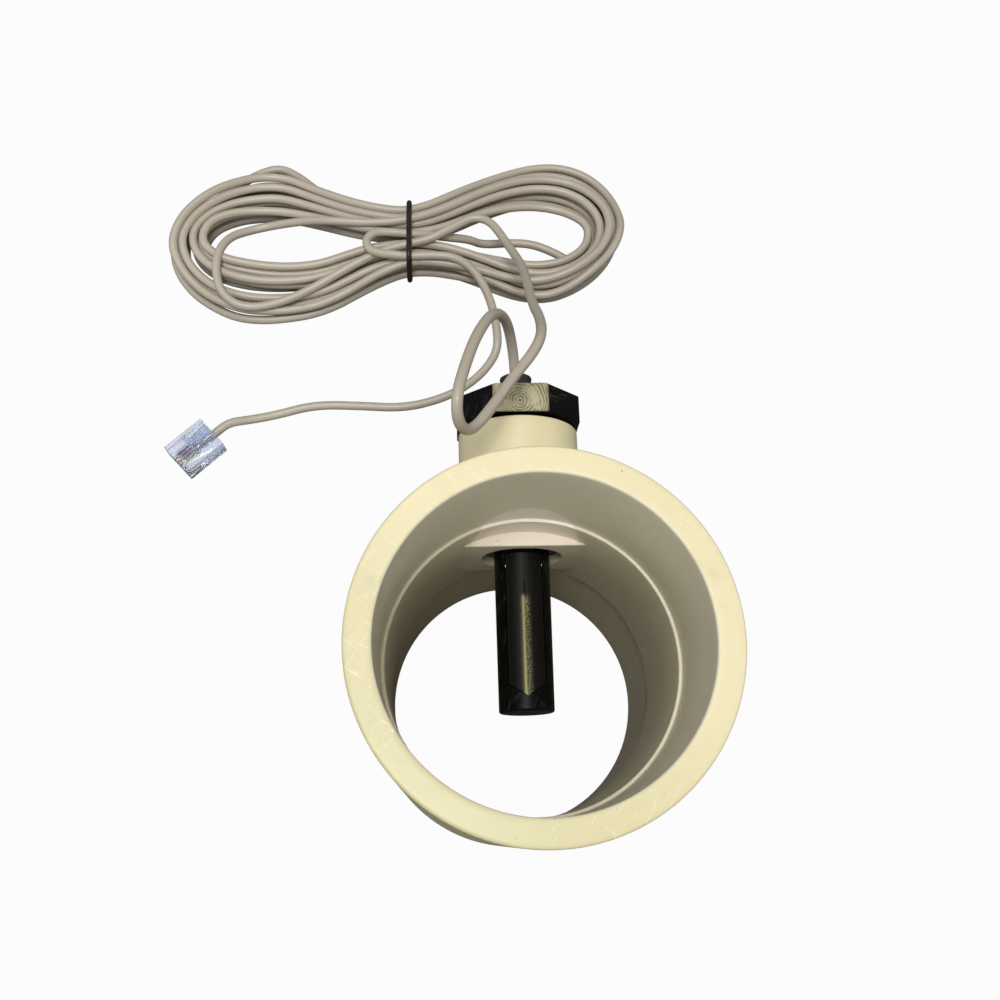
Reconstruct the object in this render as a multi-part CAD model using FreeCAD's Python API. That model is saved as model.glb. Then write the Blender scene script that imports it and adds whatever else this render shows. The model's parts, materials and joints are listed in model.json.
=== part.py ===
"""Flow switch: a black paddle switch screwed into the branch of a white socket tee, with its data lead and plug.

Frame: millimetres, +Z up the pipe axis, +Y along the branch, origin at the centre of the tee's lower end.
Each separate piece is one STEP file in parts/.
"""
import FreeCAD
import Part

import math
import os

os.makedirs("parts", exist_ok=True)

V = FreeCAD.Vector
X_AXIS = V(1, 0, 0)
Y_AXIS = V(0, 1, 0)
Z_AXIS = V(0, 0, 1)

# Tee: sockets for 2 inch pipe at both ends, a plain bore between them and a tapped branch
tee_length = 100.0
socket_radius = 30.25
socket_wall = 5.15
socket_depth = 30.9
mouth_chamfer = 0.45
stop_ledge = 0.65
pad_rise = 3.1
pad_half_height = 11.05
tapped_radius = 10.45
tapped_depth = 14.7
port_step = 1.57
branch_wall = 3.22
branch_reach = 20.3
branch_fillet = 2.5
tee_middle = tee_length / 2
tee_radius = socket_radius + socket_wall
bore_radius = socket_radius - stop_ledge
pad_plane = bore_radius - pad_rise
port_radius = tapped_radius - port_step
branch_radius = tapped_radius + branch_wall
branch_end = tee_radius + branch_reach

# Switch body: octagon head, threaded shank, neck and probe in one moulding
head_flats = 27.8
head_thickness = 6.75
head_gap = 0.75
head_edge = 0.5
shank_clearance = 0.3
thread_clearance = 0.05
thread_crest = 0.35
thread_pitch = 1.81
thread_ridge = 0.9 * thread_pitch
thread_runout = 0.2
neck_clearance = 0.28
neck_recess = 1.7
probe_root_radius = 6.17
probe_tip_radius = 6.0
probe_reach = 7.7
probe_tip_edge = 0.4
head_start = branch_end + head_gap
head_end = head_start + head_thickness
shank_start = branch_end - tapped_depth + shank_clearance
neck_start = pad_plane + neck_recess

# Hinge pin across the probe
pin_setback = 2.5
pin_place = pad_plane - pin_setback
pin_lift = 3.2
pin_radius = 0.75
pin_recess = 0.15
pin_seat_clearance = 0.02
pin_running_clearance = 0.06

# Paddle: a long flap let flush into the upstream side of the probe
paddle_width = 7.8
paddle_lift = 1.9
paddle_heel = 2.4
paddle_tip_setback = 3.0
paddle_point = 2.6
slot_clearance = 0.15
slot_point_clearance = 0.18
slot_rear_clearance = 0.3
slot_floor_drop = 0.6
seam_width = 0.3
seam_depth = 0.18
seam_start_setback = 4.0
seam_end_setback = 2.1
paddle_rear = pin_place + paddle_heel
paddle_tip = paddle_tip_setback - probe_reach
paddle_tip_side = paddle_tip + paddle_point
seam_start = pin_place - seam_start_setback
seam_end = paddle_tip + seam_end_setback

# Leaf spring under the paddle, held by a pip on the slot floor
spring_width = 3.0
spring_thickness = 0.2
spring_setback = 2.8
spring_foot = 3.6
spring_arm = 5.2
spring_pad = 1.4
spring_gap = 0.08
spring_foot_start = pin_place - spring_setback
spring_foot_end = spring_foot_start - spring_foot
spring_pad_start = spring_foot_end - spring_arm
spring_tip = spring_pad_start - spring_pad
spring_pip = (spring_foot_start + spring_foot_end) / 2
pip_radius = 0.5
pip_height = 0.5
pip_clearance = 0.03

# Magnet let into the underside of the paddle
magnet_width = 2.5
magnet_length = 6.0
magnet_height = 1.5
magnet_setback = 10.2
magnet_middle = paddle_tip + magnet_setback
magnet_clearance = 0.03
cover_thickness = 0.35

# Reed contact in the probe and the two wires to it
core_drop = 2.8
core_radius = 1.4
reed_offset = -1.3
wire_offset = 1.5
core_tip_wall = 1.8
core_end = core_tip_wall - probe_reach
reed_radius = 1.1
reed_wall = 0.3
reed_length = 13.0
reed_seal = 2.0
reed_lead_radius = 0.25
reed_lead_out = 2.2
blade_root = 0.4
blade_joint = 0.8
blade_width = 0.9
blade_thickness = 0.14
blade_overlap = 1.0
blade_gap = 0.1
core_wire_radius = 0.42
core_wire_spread = 0.55
core_wire_bend = 1.4
core_wire_entry = 1.5
core_wire_straight = 14.0
core_wire_turn = 8.0
core_wire_sag = 0.05

# Rear of the head: wire well, potting pocket and cable bush
well_radius = 4.2
well_drop = 1.2
well_depth = 9.7
well_wire_place = 7.5
pocket_radius = 9.5
pocket_depth = 4.5
pocket_floor = head_end - pocket_depth
well_start = pocket_floor - well_depth
potting_dip = 0.5
bush_radius = 3.0
bush_wall = 0.8
bush_reach = 2.3
bush_flange_radius = 4.6
bush_flange = 1.2
bush_grip = 1.7

# Cable
cable_radius = 1.2
cable_clearance = 0.05
jacket_bite = 3.2
jacket_start = head_end - jacket_bite

# Hank of cable on the floor, in its own frame: origin at the tie, long side along X
hank_place = V(-25.9, 132.2, 0)
hank_height = 7.8
hank_edge = 1.6
tie_width = 1.6
tie_thickness = 0.9
tie_clearance = 0.05
tie_corner = 1.9
waist_half = 12.6
nip_reach = 2.5 * waist_half

# Plug: six place, four wire modular plug lying on the floor, latch up
plug_turn = 222.0
plug_place = V(-84.0, 70.0, 0)
plug_length = 12.3
plug_width = 9.65
plug_height = 6.6
plug_edge = 0.35
plug_mouth_width = 4.6
plug_mouth_height = 3.2
plug_mouth_depth = 5.6
plug_channel_width = 4.4
plug_channel_height = 1.5
plug_channel_end = 4.6
plug_axis_height = 3.2
wedge_start = -4.4
wedge_end = -2.4
wedge_clearance = 0.05
latch_root_width = 6.2
latch_tab_width = 3.2
latch_step = 5.7
latch_thickness = 1.0
latch_rise = 2.6
latch_front = 0.8
latch_rear = 0.5
latch_root_rise = 0.2
latch_knee = 1.0
latch_knee_rise = 0.55
latch_sink = 0.6
contact_pitch = 1.02
contact_count = 4
contact_thickness = 0.3
contact_start = 1.7
contact_end = 5.3
contact_low = 0.45
contact_high = 3.3
contact_slot = 0.5
contact_slot_drop = 0.9
contact_fit = 0.01
contact_notch = 0.5
contact_prong = 1.0
plug_wire_radius = 0.33
plug_wire_pair = 0.47
plug_wire_start = -1.9
plug_wire_lead = 1.0
plug_wire_fan = 2.8
plug_wire_end_gap = 0.4
plug_wire_sag = 0.01

# Cable route from the head to the hank, and from the hank to the plug
LEAD_ROUTE = [
    (0.0, jacket_start, 50.0),
    (0.0, 69.5, 50.0),
    (-0.8, 76.5, 54.5),
    (-2.8, 79.8, 62.5),
    (-6.8, 76.2, 72.5),
    (-11.0, 66.8, 80.5),
    (-13.8, 57.0, 85.0),
    (-15.4, 50.0, 87.2),
    (-15.2, 44.4, 83.6),
    (-12.0, 44.8, 78.2),
    (-6.8, 52.8, 75.2),
    (-2.0, 60.4, 73.2),
    (2.4, 66.6, 71.5),
    (4.8, 72.4, 69.0),
    (5.2, 80.2, 61.5),
    (4.8, 89.5, 49.5),
    (5.0, 101.5, 36.5),
    (4.6, 113.0, 26.0),
    (2.0, 123.5, 17.5),
    (-0.9, 131.6, 12.8),
    (-3.6, 137.6, 11.0),
    (-8.4, 139.0, 10.4),
    (-13.6, 135.0, 9.6),
    (-18.6, 130.8, 8.0),
]
TAIL_ROUTE = [
    (-21.4, 122.6, 7.0),
    (-15.4, 124.0, 9.4),
    (-8.2, 121.0, 9.6),
    (-3.8, 114.0, 9.2),
    (-1.6, 106.6, 4.6),
    (-0.9, 100.0, 1.4),
    (-4.6, 94.2, 1.25),
    (-10.0, 89.2, 1.25),
    (-17.5, 85.4, 1.25),
    (-28.0, 83.2, 1.25),
    (-40.0, 83.6, 1.25),
    (-52.5, 83.6, 1.25),
    (-63.0, 80.4, 1.3),
    (-70.3, 78.8, 1.9),
    (-75.6, 77.6, 3.2),
]


def save(shape, node):
    """Write one sub-part as parts/NODE.step and print its volume."""
    if not shape.isValid():
        raise ValueError(node + " is not a valid solid")
    shape.exportStep("parts/" + node + ".step")
    box = shape.BoundBox
    print(f"{node}: {len(shape.Solids)} solid, {shape.Volume:.1f} mm3, z {box.ZMin:.2f} to {box.ZMax:.2f}")


def solid_of(shape):
    """The single solid in a boolean's result, with its split faces joined again."""
    return shape.removeSplitter()


def rod_y(radius, y_start, y_end, x=0.0, z=tee_middle):
    """A round bar along Y."""
    return Part.makeCylinder(radius, y_end - y_start, V(x, y_start, z), Y_AXIS)


def block(low, high):
    """A box between two corners."""
    return Part.makeBox(high[0] - low[0], high[1] - low[1], high[2] - low[2], V(*low))


def prism_z(points, z_low, z_high):
    """A straight prism on a polygon in the XY plane."""
    corners = [V(x, y, z_low) for x, y in points]
    face = Part.Face(Part.makePolygon(corners + corners[:1]))
    return face.extrude(V(0, 0, z_high - z_low))


def corner_radius(before, at, after):
    """Arc radius at one corner of a route: 0.45 of its shorter run, divided by the tangent of half the turn."""
    run_in = at - before
    run_out = after - at
    turn = run_in.getAngle(run_out)
    return 0.45 * min(run_in.Length, run_out.Length) / math.tan(turn / 2), turn


def rounded_edges(points, closed=False, label=""):
    """Straight runs joined by tangent arcs through a route, as a list of edges."""
    points = [V(*p) for p in points]
    count = len(points)
    corners = range(count) if closed else range(1, count - 1)
    arcs = {}
    radii = []
    for i in corners:
        before, at, after = points[i - 1], points[i], points[(i + 1) % count]
        radius, turn = corner_radius(before, at, after)
        setback = radius * math.tan(turn / 2)
        way_in = (at - before).normalize()
        way_out = (after - at).normalize()
        first = at - way_in * setback
        last = at + way_out * setback
        inward = (way_out - way_in).normalize()
        middle = at + inward * (radius / math.cos(turn / 2) - radius)
        arcs[i] = (first, middle, last)
        radii.append(radius)
    edges = []
    for i in range(count if closed else count - 1):
        after = (i + 1) % count
        start = arcs[i][2] if i in arcs else points[i]
        end = arcs[after][0] if after in arcs else points[after]
        edges.append(Part.LineSegment(start, end).toShape())
        if after in arcs:
            edges.append(Part.Arc(*arcs[after]).toShape())
    if label:
        print(label, "arc radii:", ", ".join(f"{r:.1f}" for r in radii))
    return edges


def tube_along(points, radius, label=""):
    """A round cord along a route, checked against its section times its length."""
    edges = rounded_edges(points, label=label)
    path = Part.Wire(edges)
    start = V(*points[0])
    way = (V(*points[1]) - start).normalize()
    ring = Part.Wire(Part.Circle(start, way, radius).toShape())
    tube = path.makePipeShell([ring], True, False)
    expected = math.pi * radius * radius * path.Length
    if label:
        print(f"{label}: length {path.Length:.1f} mm, volume over section times length {tube.Volume / expected:.4f}")
    return tube


def rounded_slab(points, z_low, z_high):
    """A slab on a closed outline whose corners are arcs."""
    edges = rounded_edges([(x, y, z_low) for x, y in points], closed=True)
    face = Part.Face(Part.Wire(edges))
    return face.extrude(V(0, 0, z_high - z_low))


def make_tee():
    """Socket tee: straight outside, two sockets with a stop ledge, a flat round the tapped branch."""
    run = Part.makeCylinder(tee_radius, tee_length)
    branch = rod_y(branch_radius, 0, branch_end)
    outside = run.fuse(branch)
    joint = [e for e in outside.Edges if not is_plain_edge(e)]
    outside = outside.makeFillet(branch_fillet, joint)
    bore = Part.makeCylinder(bore_radius, tee_length)
    far = 2 * bore_radius
    pad = block(
        (-far, pad_plane, tee_middle - pad_half_height),
        (far, far, tee_middle + pad_half_height),
    )
    inside = bore.cut(pad)
    for start, way in ((0, 1), (tee_length, -1)):
        inside = inside.fuse(Part.makeCylinder(socket_radius, socket_depth, V(0, 0, start), V(0, 0, way)))
        mouth = Part.makeCone(socket_radius + mouth_chamfer, socket_radius, mouth_chamfer, V(0, 0, start), V(0, 0, way))
        inside = inside.fuse(mouth)
    inside = inside.fuse(rod_y(port_radius, 0, branch_end))
    inside = inside.fuse(rod_y(tapped_radius, branch_end - tapped_depth, branch_end))
    return solid_of(outside.cut(inside))


def is_plain_edge(edge):
    """True for the circles and seams of a cylinder, false for the line where two cylinders meet."""
    return isinstance(edge.Curve, (Part.Circle, Part.Line))


def octagon_head():
    """Octagon head with a flat on top and softened edges."""
    corner = head_flats / 2 / math.cos(math.pi / 8)
    ring = []
    for i in range(8):
        angle = math.pi / 8 + i * math.pi / 4
        ring.append(V(corner * math.cos(angle), head_start, tee_middle + corner * math.sin(angle)))
    face = Part.Face(Part.makePolygon(ring + ring[:1]))
    head = face.extrude(Y_AXIS * head_thickness)
    if head.Volume < 0:
        head.reverse()
    return head.makeChamfer(head_edge, head.Edges)


def threaded_shank():
    """Shank with plain ridges in place of the helical thread; their crests stand just inside the tapping."""
    core = tapped_radius - thread_clearance - thread_crest
    shank = rod_y(core, shank_start, head_start)
    ridge_half = thread_ridge / 2
    middle = shank_start + thread_pitch
    while middle + ridge_half < head_start - thread_runout:
        for side in (-1, 1):
            cone = Part.makeCone(
                tapped_radius - thread_clearance,
                core,
                ridge_half,
                V(0, middle, tee_middle),
                Y_AXIS * side,
            )
            shank = shank.fuse(cone)
        middle += thread_pitch
    return shank


def probe():
    """Round probe that tapers from the neck to its flat end."""
    length = neck_start + probe_reach
    bar = Part.makeCone(probe_tip_radius, probe_root_radius, length, V(0, -probe_reach, tee_middle), Y_AXIS)
    end = [e for e in bar.Edges if isinstance(e.Curve, Part.Circle) and abs(e.CenterOfMass.y + probe_reach) < 0.01]
    return bar.makeChamfer(probe_tip_edge, end)


def paddle_outline(margin, rear):
    """Plan of the paddle with its pointed tip, grown all round by a margin."""
    half = paddle_width / 2 + margin
    return [
        (-half, rear),
        (-half, paddle_tip_side - margin),
        (0, paddle_tip - (slot_point_clearance if margin else 0)),
        (half, paddle_tip_side - margin),
        (half, rear),
    ]


slot_floor = tee_middle - slot_floor_drop
paddle_floor = tee_middle + paddle_lift
pin_height = tee_middle + pin_lift
core_height = tee_middle - core_drop
far_up = tee_middle + 2 * probe_root_radius


def core_hole():
    """Flat-sided round hole for the reed contact and its return wire."""
    low = core_height - core_radius
    high = core_height + core_radius
    hole = rod_y(core_radius, core_end, well_start + 1, reed_offset, core_height)
    hole = hole.fuse(rod_y(core_radius, core_end, well_start + 1, wire_offset, core_height))
    return hole.fuse(block((reed_offset, core_end, low), (wire_offset, well_start + 1, high)))


def make_switch_body():
    """Head, shank, neck and probe, with the paddle slot, the reed hole and the rear pocket."""
    neck = rod_y(port_radius - neck_clearance, neck_start, shank_start + 1)
    body = octagon_head().fuse(threaded_shank()).fuse(neck).fuse(probe())
    slot = prism_z(paddle_outline(slot_clearance, paddle_rear + slot_rear_clearance), slot_floor, far_up)
    body = body.cut(slot)
    pip_root = slot_floor - pip_height / 2
    body = body.fuse(Part.makeCylinder(pip_radius, 1.5 * pip_height, V(0, spring_pip, pip_root)))
    pin_hole = Part.makeCylinder(
        pin_radius + pin_seat_clearance,
        4 * probe_root_radius,
        V(-2 * probe_root_radius, pin_place, pin_height),
        X_AXIS,
    )
    body = body.cut(pin_hole)
    body = body.cut(core_hole())
    body = body.cut(rod_y(well_radius, well_start, pocket_floor + 1, 0, tee_middle - well_drop))
    body = body.cut(rod_y(pocket_radius, pocket_floor, head_end + 1))
    return solid_of(body)


def pin_half_length():
    """Half the width of the probe at the pin, less the recess at each end."""
    share = (pin_place + probe_reach) / (neck_start + probe_reach)
    radius = probe_tip_radius + share * (probe_root_radius - probe_tip_radius)
    return math.sqrt(radius * radius - (pin_lift + pin_radius) ** 2) - pin_recess


def make_hinge_pin():
    """Plain pin, flush inside the probe's sides."""
    half = pin_half_length()
    return Part.makeCylinder(pin_radius, 2 * half, V(-half, pin_place, pin_height), X_AXIS)


def magnet_pocket(margin, low, high):
    """Box for the magnet in the paddle's underside."""
    return block(
        (-magnet_width / 2 - margin, magnet_middle - magnet_length / 2 - margin, low),
        (magnet_width / 2 + margin, magnet_middle + magnet_length / 2 + margin, high),
    )


def make_paddle():
    """Flap whose outer face carries on the probe's round, with a moulding seam, pin hole and magnet pocket."""
    prism = prism_z(paddle_outline(0, paddle_rear), paddle_floor, far_up)
    flap = prism.common(probe())
    flap = flap.cut(
        Part.makeCylinder(
            pin_radius + pin_running_clearance,
            2 * paddle_width,
            V(-paddle_width, pin_place, pin_height),
            X_AXIS,
        )
    )
    top = paddle_floor + cover_thickness + magnet_height + magnet_clearance
    flap = flap.cut(magnet_pocket(magnet_clearance, paddle_floor - 1, top))
    seam_low = tee_middle + probe_tip_radius - seam_depth
    seam = block((-seam_width / 2, seam_end, seam_low), (seam_width / 2, seam_start, far_up))
    return solid_of(flap.cut(seam))


def make_return_spring():
    """Bent leaf: a foot on the slot floor, a rising arm and a short pad under the paddle."""
    low = slot_floor
    high = paddle_floor - spring_gap
    t = spring_thickness
    upper = [
        (spring_foot_start, low + t),
        (spring_foot_end, low + t),
        (spring_pad_start, high),
        (spring_tip, high),
    ]
    lower = [(y, z - t) for y, z in reversed(upper)]
    ring = [V(-spring_width / 2, y, z) for y, z in upper + lower]
    leaf = Part.Face(Part.makePolygon(ring + ring[:1])).extrude(X_AXIS * spring_width)
    hole = Part.makeCylinder(pip_radius + pip_clearance, 2, V(0, spring_pip, low - 1))
    return solid_of(leaf.cut(hole))


reed_start = magnet_middle - reed_length / 2
reed_end = magnet_middle + reed_length / 2


def make_reed_capsule():
    """Glass tube closed at both ends round the leads."""
    glass = rod_y(reed_radius, reed_start, reed_end, reed_offset, core_height)
    ends = [e for e in glass.Edges if isinstance(e.Curve, Part.Circle)]
    glass = glass.makeFillet(0.45 * reed_radius, ends)
    hollow = rod_y(reed_radius - reed_wall, reed_start + reed_seal, reed_end - reed_seal, reed_offset, core_height)
    leads = rod_y(reed_lead_radius, reed_start - 1, reed_end + 1, reed_offset, core_height)
    return solid_of(glass.cut(hollow).cut(leads))


def make_reed_blade(side):
    """One contact: a round lead through the glass seal and a flat blade that overlaps the other one."""
    middle = (reed_start + reed_end) / 2
    outer = reed_start - reed_lead_out if side < 0 else reed_end + reed_lead_out
    inner = reed_start + reed_seal + blade_root if side < 0 else reed_end - reed_seal - blade_root
    tip = middle - side * blade_overlap / 2
    lead = rod_y(reed_lead_radius, min(outer, inner), max(outer, inner), reed_offset, core_height)
    base = core_height + (blade_gap / 2 if side > 0 else -blade_gap / 2 - blade_thickness)
    blade = block(
        (reed_offset - blade_width / 2, min(tip, inner), base),
        (reed_offset + blade_width / 2, max(tip, inner), base + blade_thickness),
    )
    joint = block(
        (reed_offset - reed_lead_radius, min(inner, inner - side * blade_joint), core_height - reed_lead_radius),
        (reed_offset + reed_lead_radius, max(inner, inner - side * blade_joint), core_height + reed_lead_radius),
    )
    return solid_of(lead.fuse(joint).fuse(blade))


def near_wire_route():
    """From the cable end to the reed's near lead."""
    return [
        (-core_wire_spread, jacket_start, tee_middle),
        (-core_wire_spread, well_start + well_wire_place, tee_middle),
        (reed_offset, well_start + core_wire_entry, core_height),
        (reed_offset - core_wire_sag, reed_end + core_wire_straight, core_height + core_wire_sag),
        (reed_offset, reed_end + reed_lead_out, core_height),
    ]


def far_wire_route():
    """From the cable end past the reed, and round to its far lead."""
    bend = reed_start - reed_lead_out - core_wire_bend
    return [
        (core_wire_spread, jacket_start, tee_middle),
        (core_wire_spread, well_start + well_wire_place, tee_middle),
        (wire_offset, well_start + core_wire_entry, core_height),
        (wire_offset + core_wire_sag, reed_end + core_wire_turn, core_height + core_wire_sag),
        (wire_offset, bend, core_height),
        (reed_offset, bend, core_height),
        (reed_offset, reed_start - reed_lead_out, core_height),
    ]


def make_cable_bush():
    """Thin sleeve round the cable with a flange under the potting."""
    start = head_end - potting_dip - bush_grip
    bush = rod_y(bush_radius, start, head_end + bush_reach)
    bush = bush.fuse(rod_y(bush_flange_radius, start, start + bush_flange))
    bush = bush.cut(rod_y(bush_radius - bush_wall, start + bush_grip, head_end + bush_reach + 1))
    return solid_of(bush.cut(rod_y(cable_radius + cable_clearance, start - 1, head_end)))


def make_head_potting(near_wire, far_wire, bush):
    """Resin that fills the rear pocket round the bush, the cable end and the wires."""
    resin = rod_y(pocket_radius, pocket_floor, head_end - potting_dip)
    resin = resin.cut(rod_y(cable_radius, jacket_start, head_end))
    resin = resin.cut(bush).cut(near_wire).cut(far_wire)
    inner = rod_y(bush_radius, head_end - potting_dip - bush_grip, head_end)
    return solid_of(resin.cut(inner))


def hank_outline():
    """Outer edge of the tied hank, two loose lobes pinched at the tie."""
    return [
        (0, waist_half),
        (-14, 15.0),
        (-33, 30.0),
        (-53, 27.0),
        (-70.5, 13.0),
        (-71.0, -6.0),
        (-56, -21.5),
        (-36, -25.5),
        (-15, -17.0),
        (0, -waist_half),
        (15, -15.0),
        (34, -20.5),
        (51, -17.0),
        (63.5, -4.5),
        (63.5, 13.5),
        (52, 28.0),
        (35, 29.5),
        (15, 18.0),
    ]


def left_eye():
    """Open middle of the left lobe."""
    return [(-17, 1.6), (-30, 7.0), (-43, 7.4), (-50, 2.4), (-43, -3.6), (-30, -4.4)]


def right_eye():
    """Open middle of the right lobe."""
    return [(16, 3.2), (28, 10.4), (41, 11.6), (48, 5.6), (42, -1.0), (28, -1.8)]


def make_cable_coil():
    """The hank's outer shape with its two eyes and the nip under the tie."""
    hank = rounded_slab(hank_outline(), 0, hank_height)
    hank = hank.cut(rounded_slab(left_eye(), -1, hank_height + 1))
    hank = hank.cut(rounded_slab(right_eye(), -1, hank_height + 1))
    rims = []
    for edge in hank.Edges:
        box = edge.BoundBox
        if box.ZMin > hank_height - 0.01:
            rims.append(edge)
    hank = hank.makeChamfer(hank_edge, rims)
    half = tie_width / 2 + tie_clearance
    nip = tie_thickness + tie_clearance
    waist = block((-half, -nip_reach, -1), (half, nip_reach, hank_height + 1))
    core = block((-half, nip - waist_half, nip), (half, waist_half - nip, hank_height - nip))
    hank = hank.cut(waist.cut(core))
    hank.translate(hank_place)
    return solid_of(hank)


def make_coil_tie():
    """Thin band round the hank's waist."""
    half = tie_width / 2
    band = block((-half, -waist_half, 0), (half, waist_half, hank_height))
    outer = [e for e in band.Edges if abs(e.BoundBox.XLength - tie_width) < 0.01]
    band = band.makeFillet(tie_corner, outer)
    inner = block(
        (-half, tie_thickness - waist_half, tie_thickness),
        (half, waist_half - tie_thickness, hank_height - tie_thickness),
    )
    band = band.cut(inner)
    band.translate(hank_place)
    return solid_of(band)


def place_plug(shape):
    """Turn a piece made along +X to the plug's heading and move it to its place."""
    shape.rotate(V(0, 0, 0), Z_AXIS, plug_turn)
    shape.translate(plug_place)
    return shape


def contact_offsets():
    """Y places of the contacts and wires."""
    return [(i - (contact_count - 1) / 2) * contact_pitch for i in range(contact_count)]


def make_latch():
    """Springy latch that rises from the plug's front edge, wide at its root and narrow at its tab."""
    half = plug_length / 2
    root = latch_root_width / 2
    tab = latch_tab_width / 2
    front = half - latch_front
    step = front - latch_step
    rear = latch_rear - half
    low = plug_height - latch_sink
    plan = [(front, -root), (step, -root), (step, -tab), (rear, -tab)]
    plan += [(x, -y) for x, y in reversed(plan)]
    slab = prism_z(plan, low - 1, plug_height + 2 * latch_rise)
    side = [
        (front, low),
        (front - 1.6 * latch_knee, low),
        (rear, plug_height + latch_rise - latch_thickness),
        (rear, plug_height + latch_rise),
        (front - latch_knee, plug_height + latch_knee_rise),
        (front, plug_height + latch_root_rise),
    ]
    ring = [V(x, -plug_width, z) for x, z in side]
    wedge = Part.Face(Part.makePolygon(ring + ring[:1])).extrude(Y_AXIS * 2 * plug_width)
    return slab.common(wedge)


def make_plug_shell():
    """Clear housing with its cable mouth, wire channel, contact slots, wedge and latch in one moulding."""
    half = plug_length / 2
    body = block((-half, -plug_width / 2, 0), (half, plug_width / 2, plug_height))
    long_edges = [e for e in body.Edges if e.BoundBox.XLength > plug_length - 0.01]
    body = body.makeChamfer(plug_edge, long_edges)
    axis = plug_axis_height
    mouth = block(
        (-half - 1, -plug_mouth_width / 2, axis - plug_mouth_height / 2),
        (-half + plug_mouth_depth, plug_mouth_width / 2, axis + plug_mouth_height / 2),
    )
    channel = block(
        (-half + plug_mouth_depth - 0.1, -plug_channel_width / 2, axis - plug_channel_height / 2),
        (plug_channel_end, plug_channel_width / 2, axis + plug_channel_height / 2),
    )
    body = body.cut(mouth).cut(channel)
    wedge = block(
        (wedge_start, -plug_mouth_width / 2 - 0.1, axis + cable_radius + wedge_clearance),
        (wedge_end, plug_mouth_width / 2 + 0.1, axis + plug_mouth_height / 2 + 0.1),
    )
    body = body.fuse(wedge)
    for y in contact_offsets():
        slot = block(
            (contact_end, y - contact_slot / 2, -1),
            (half + 1, y + contact_slot / 2, contact_high - contact_slot_drop),
        )
        fit = contact_thickness / 2 + contact_fit
        seat = block(
            (contact_start - contact_fit, y - fit, -1),
            (contact_end + contact_fit, y + fit, contact_high + contact_fit),
        )
        body = body.cut(slot).cut(seat)
    return place_plug(solid_of(body.fuse(make_latch())))


def contact_blade(y):
    """One contact blade with a notch in its top that straddles the wire's copper."""
    half = contact_thickness / 2
    blade = block((contact_start, y - half, contact_low), (contact_end, y + half, contact_high))
    notch = block(
        (contact_start + contact_prong, y - contact_thickness, contact_high - contact_notch),
        (contact_end - contact_prong, y + contact_thickness, contact_high + contact_notch),
    )
    return blade.cut(notch)


def make_plug_contacts():
    """Four blades, one group."""
    return place_plug(Part.makeCompound([contact_blade(y) for y in contact_offsets()]))


def make_plug_wire(index):
    """One insulated wire from the cable's end to its contact."""
    y = contact_offsets()[index]
    axis = plug_axis_height
    pair_y = math.copysign(plug_wire_pair, y)
    pair_z = plug_wire_pair if index in (0, contact_count - 1) else -plug_wire_pair
    route = [
        (plug_wire_start, pair_y, axis + pair_z),
        (plug_wire_start + plug_wire_lead, pair_y, axis + pair_z - math.copysign(plug_wire_sag, pair_z)),
        (plug_wire_start + plug_wire_fan, y, axis),
        (plug_channel_end - plug_wire_end_gap, y, axis + plug_wire_sag),
    ]
    wire = tube_along(route, plug_wire_radius)
    return place_plug(wire.cut(contact_blade(y)))


def tail_route():
    """The hand-chosen points, then the mouth of the plug and the cable's end inside it."""
    turn = math.radians(plug_turn)
    way = V(math.cos(turn), math.sin(turn), 0)
    mouth = plug_place - way * (plug_length / 2) + V(0, 0, plug_axis_height)
    end = plug_place + way * plug_wire_start + V(0, 0, plug_axis_height)
    return TAIL_ROUTE + [(mouth.x, mouth.y, mouth.z), (end.x, end.y, end.z)]


save(make_tee(), "tee_body")
save(make_switch_body(), "switch_body")
save(make_hinge_pin(), "hinge_pin")
save(make_paddle(), "paddle")
save(magnet_pocket(0, paddle_floor + cover_thickness, paddle_floor + cover_thickness + magnet_height), "paddle_magnet")
save(magnet_pocket(0, paddle_floor, paddle_floor + cover_thickness), "magnet_cover")
save(make_return_spring(), "return_spring")
save(make_reed_capsule(), "reed_capsule")
save(make_reed_blade(1), "reed_blade_near")
save(make_reed_blade(-1), "reed_blade_far")
near_wire = tube_along(near_wire_route(), core_wire_radius, "near wire")
far_wire = tube_along(far_wire_route(), core_wire_radius, "far wire")
save(near_wire, "reed_wire_near")
save(far_wire, "reed_wire_far")
cable_bush = make_cable_bush()
save(cable_bush, "cable_bush")
save(make_head_potting(near_wire, far_wire, cable_bush), "head_potting")
save(tube_along(LEAD_ROUTE, cable_radius, "cable lead"), "cable_lead")
save(make_cable_coil(), "cable_coil")
save(make_coil_tie(), "coil_tie")
save(tube_along(tail_route(), cable_radius, "cable tail"), "cable_tail")
save(make_plug_shell(), "plug_shell")
save(make_plug_contacts(), "plug_contacts")
for number, colour in enumerate(("black", "red", "green", "yellow")):
    save(make_plug_wire(number), "plug_wire_" + colour)
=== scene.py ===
# %% [markdown]
# # A flow switch with its tied lead and plug
#
# A short socket tee stands on the floor. A black switch is screwed into its branch: an octagon head behind,
# and a round probe that reaches across the bore with a flap let flush into it. A thin grey data lead leaves
# the head, makes a loop in the air, runs into a tied hank and ends in a small clear plug.
#
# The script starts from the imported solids, which say where everything is. It keeps them where their shape is
# enough, and puts finer surfaces over those that are seen closely. All sizes are in metres.

# %% Load the frame
import json
import math

import bmesh
import bpy
import numpy as np
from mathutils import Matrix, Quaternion, Vector


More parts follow.
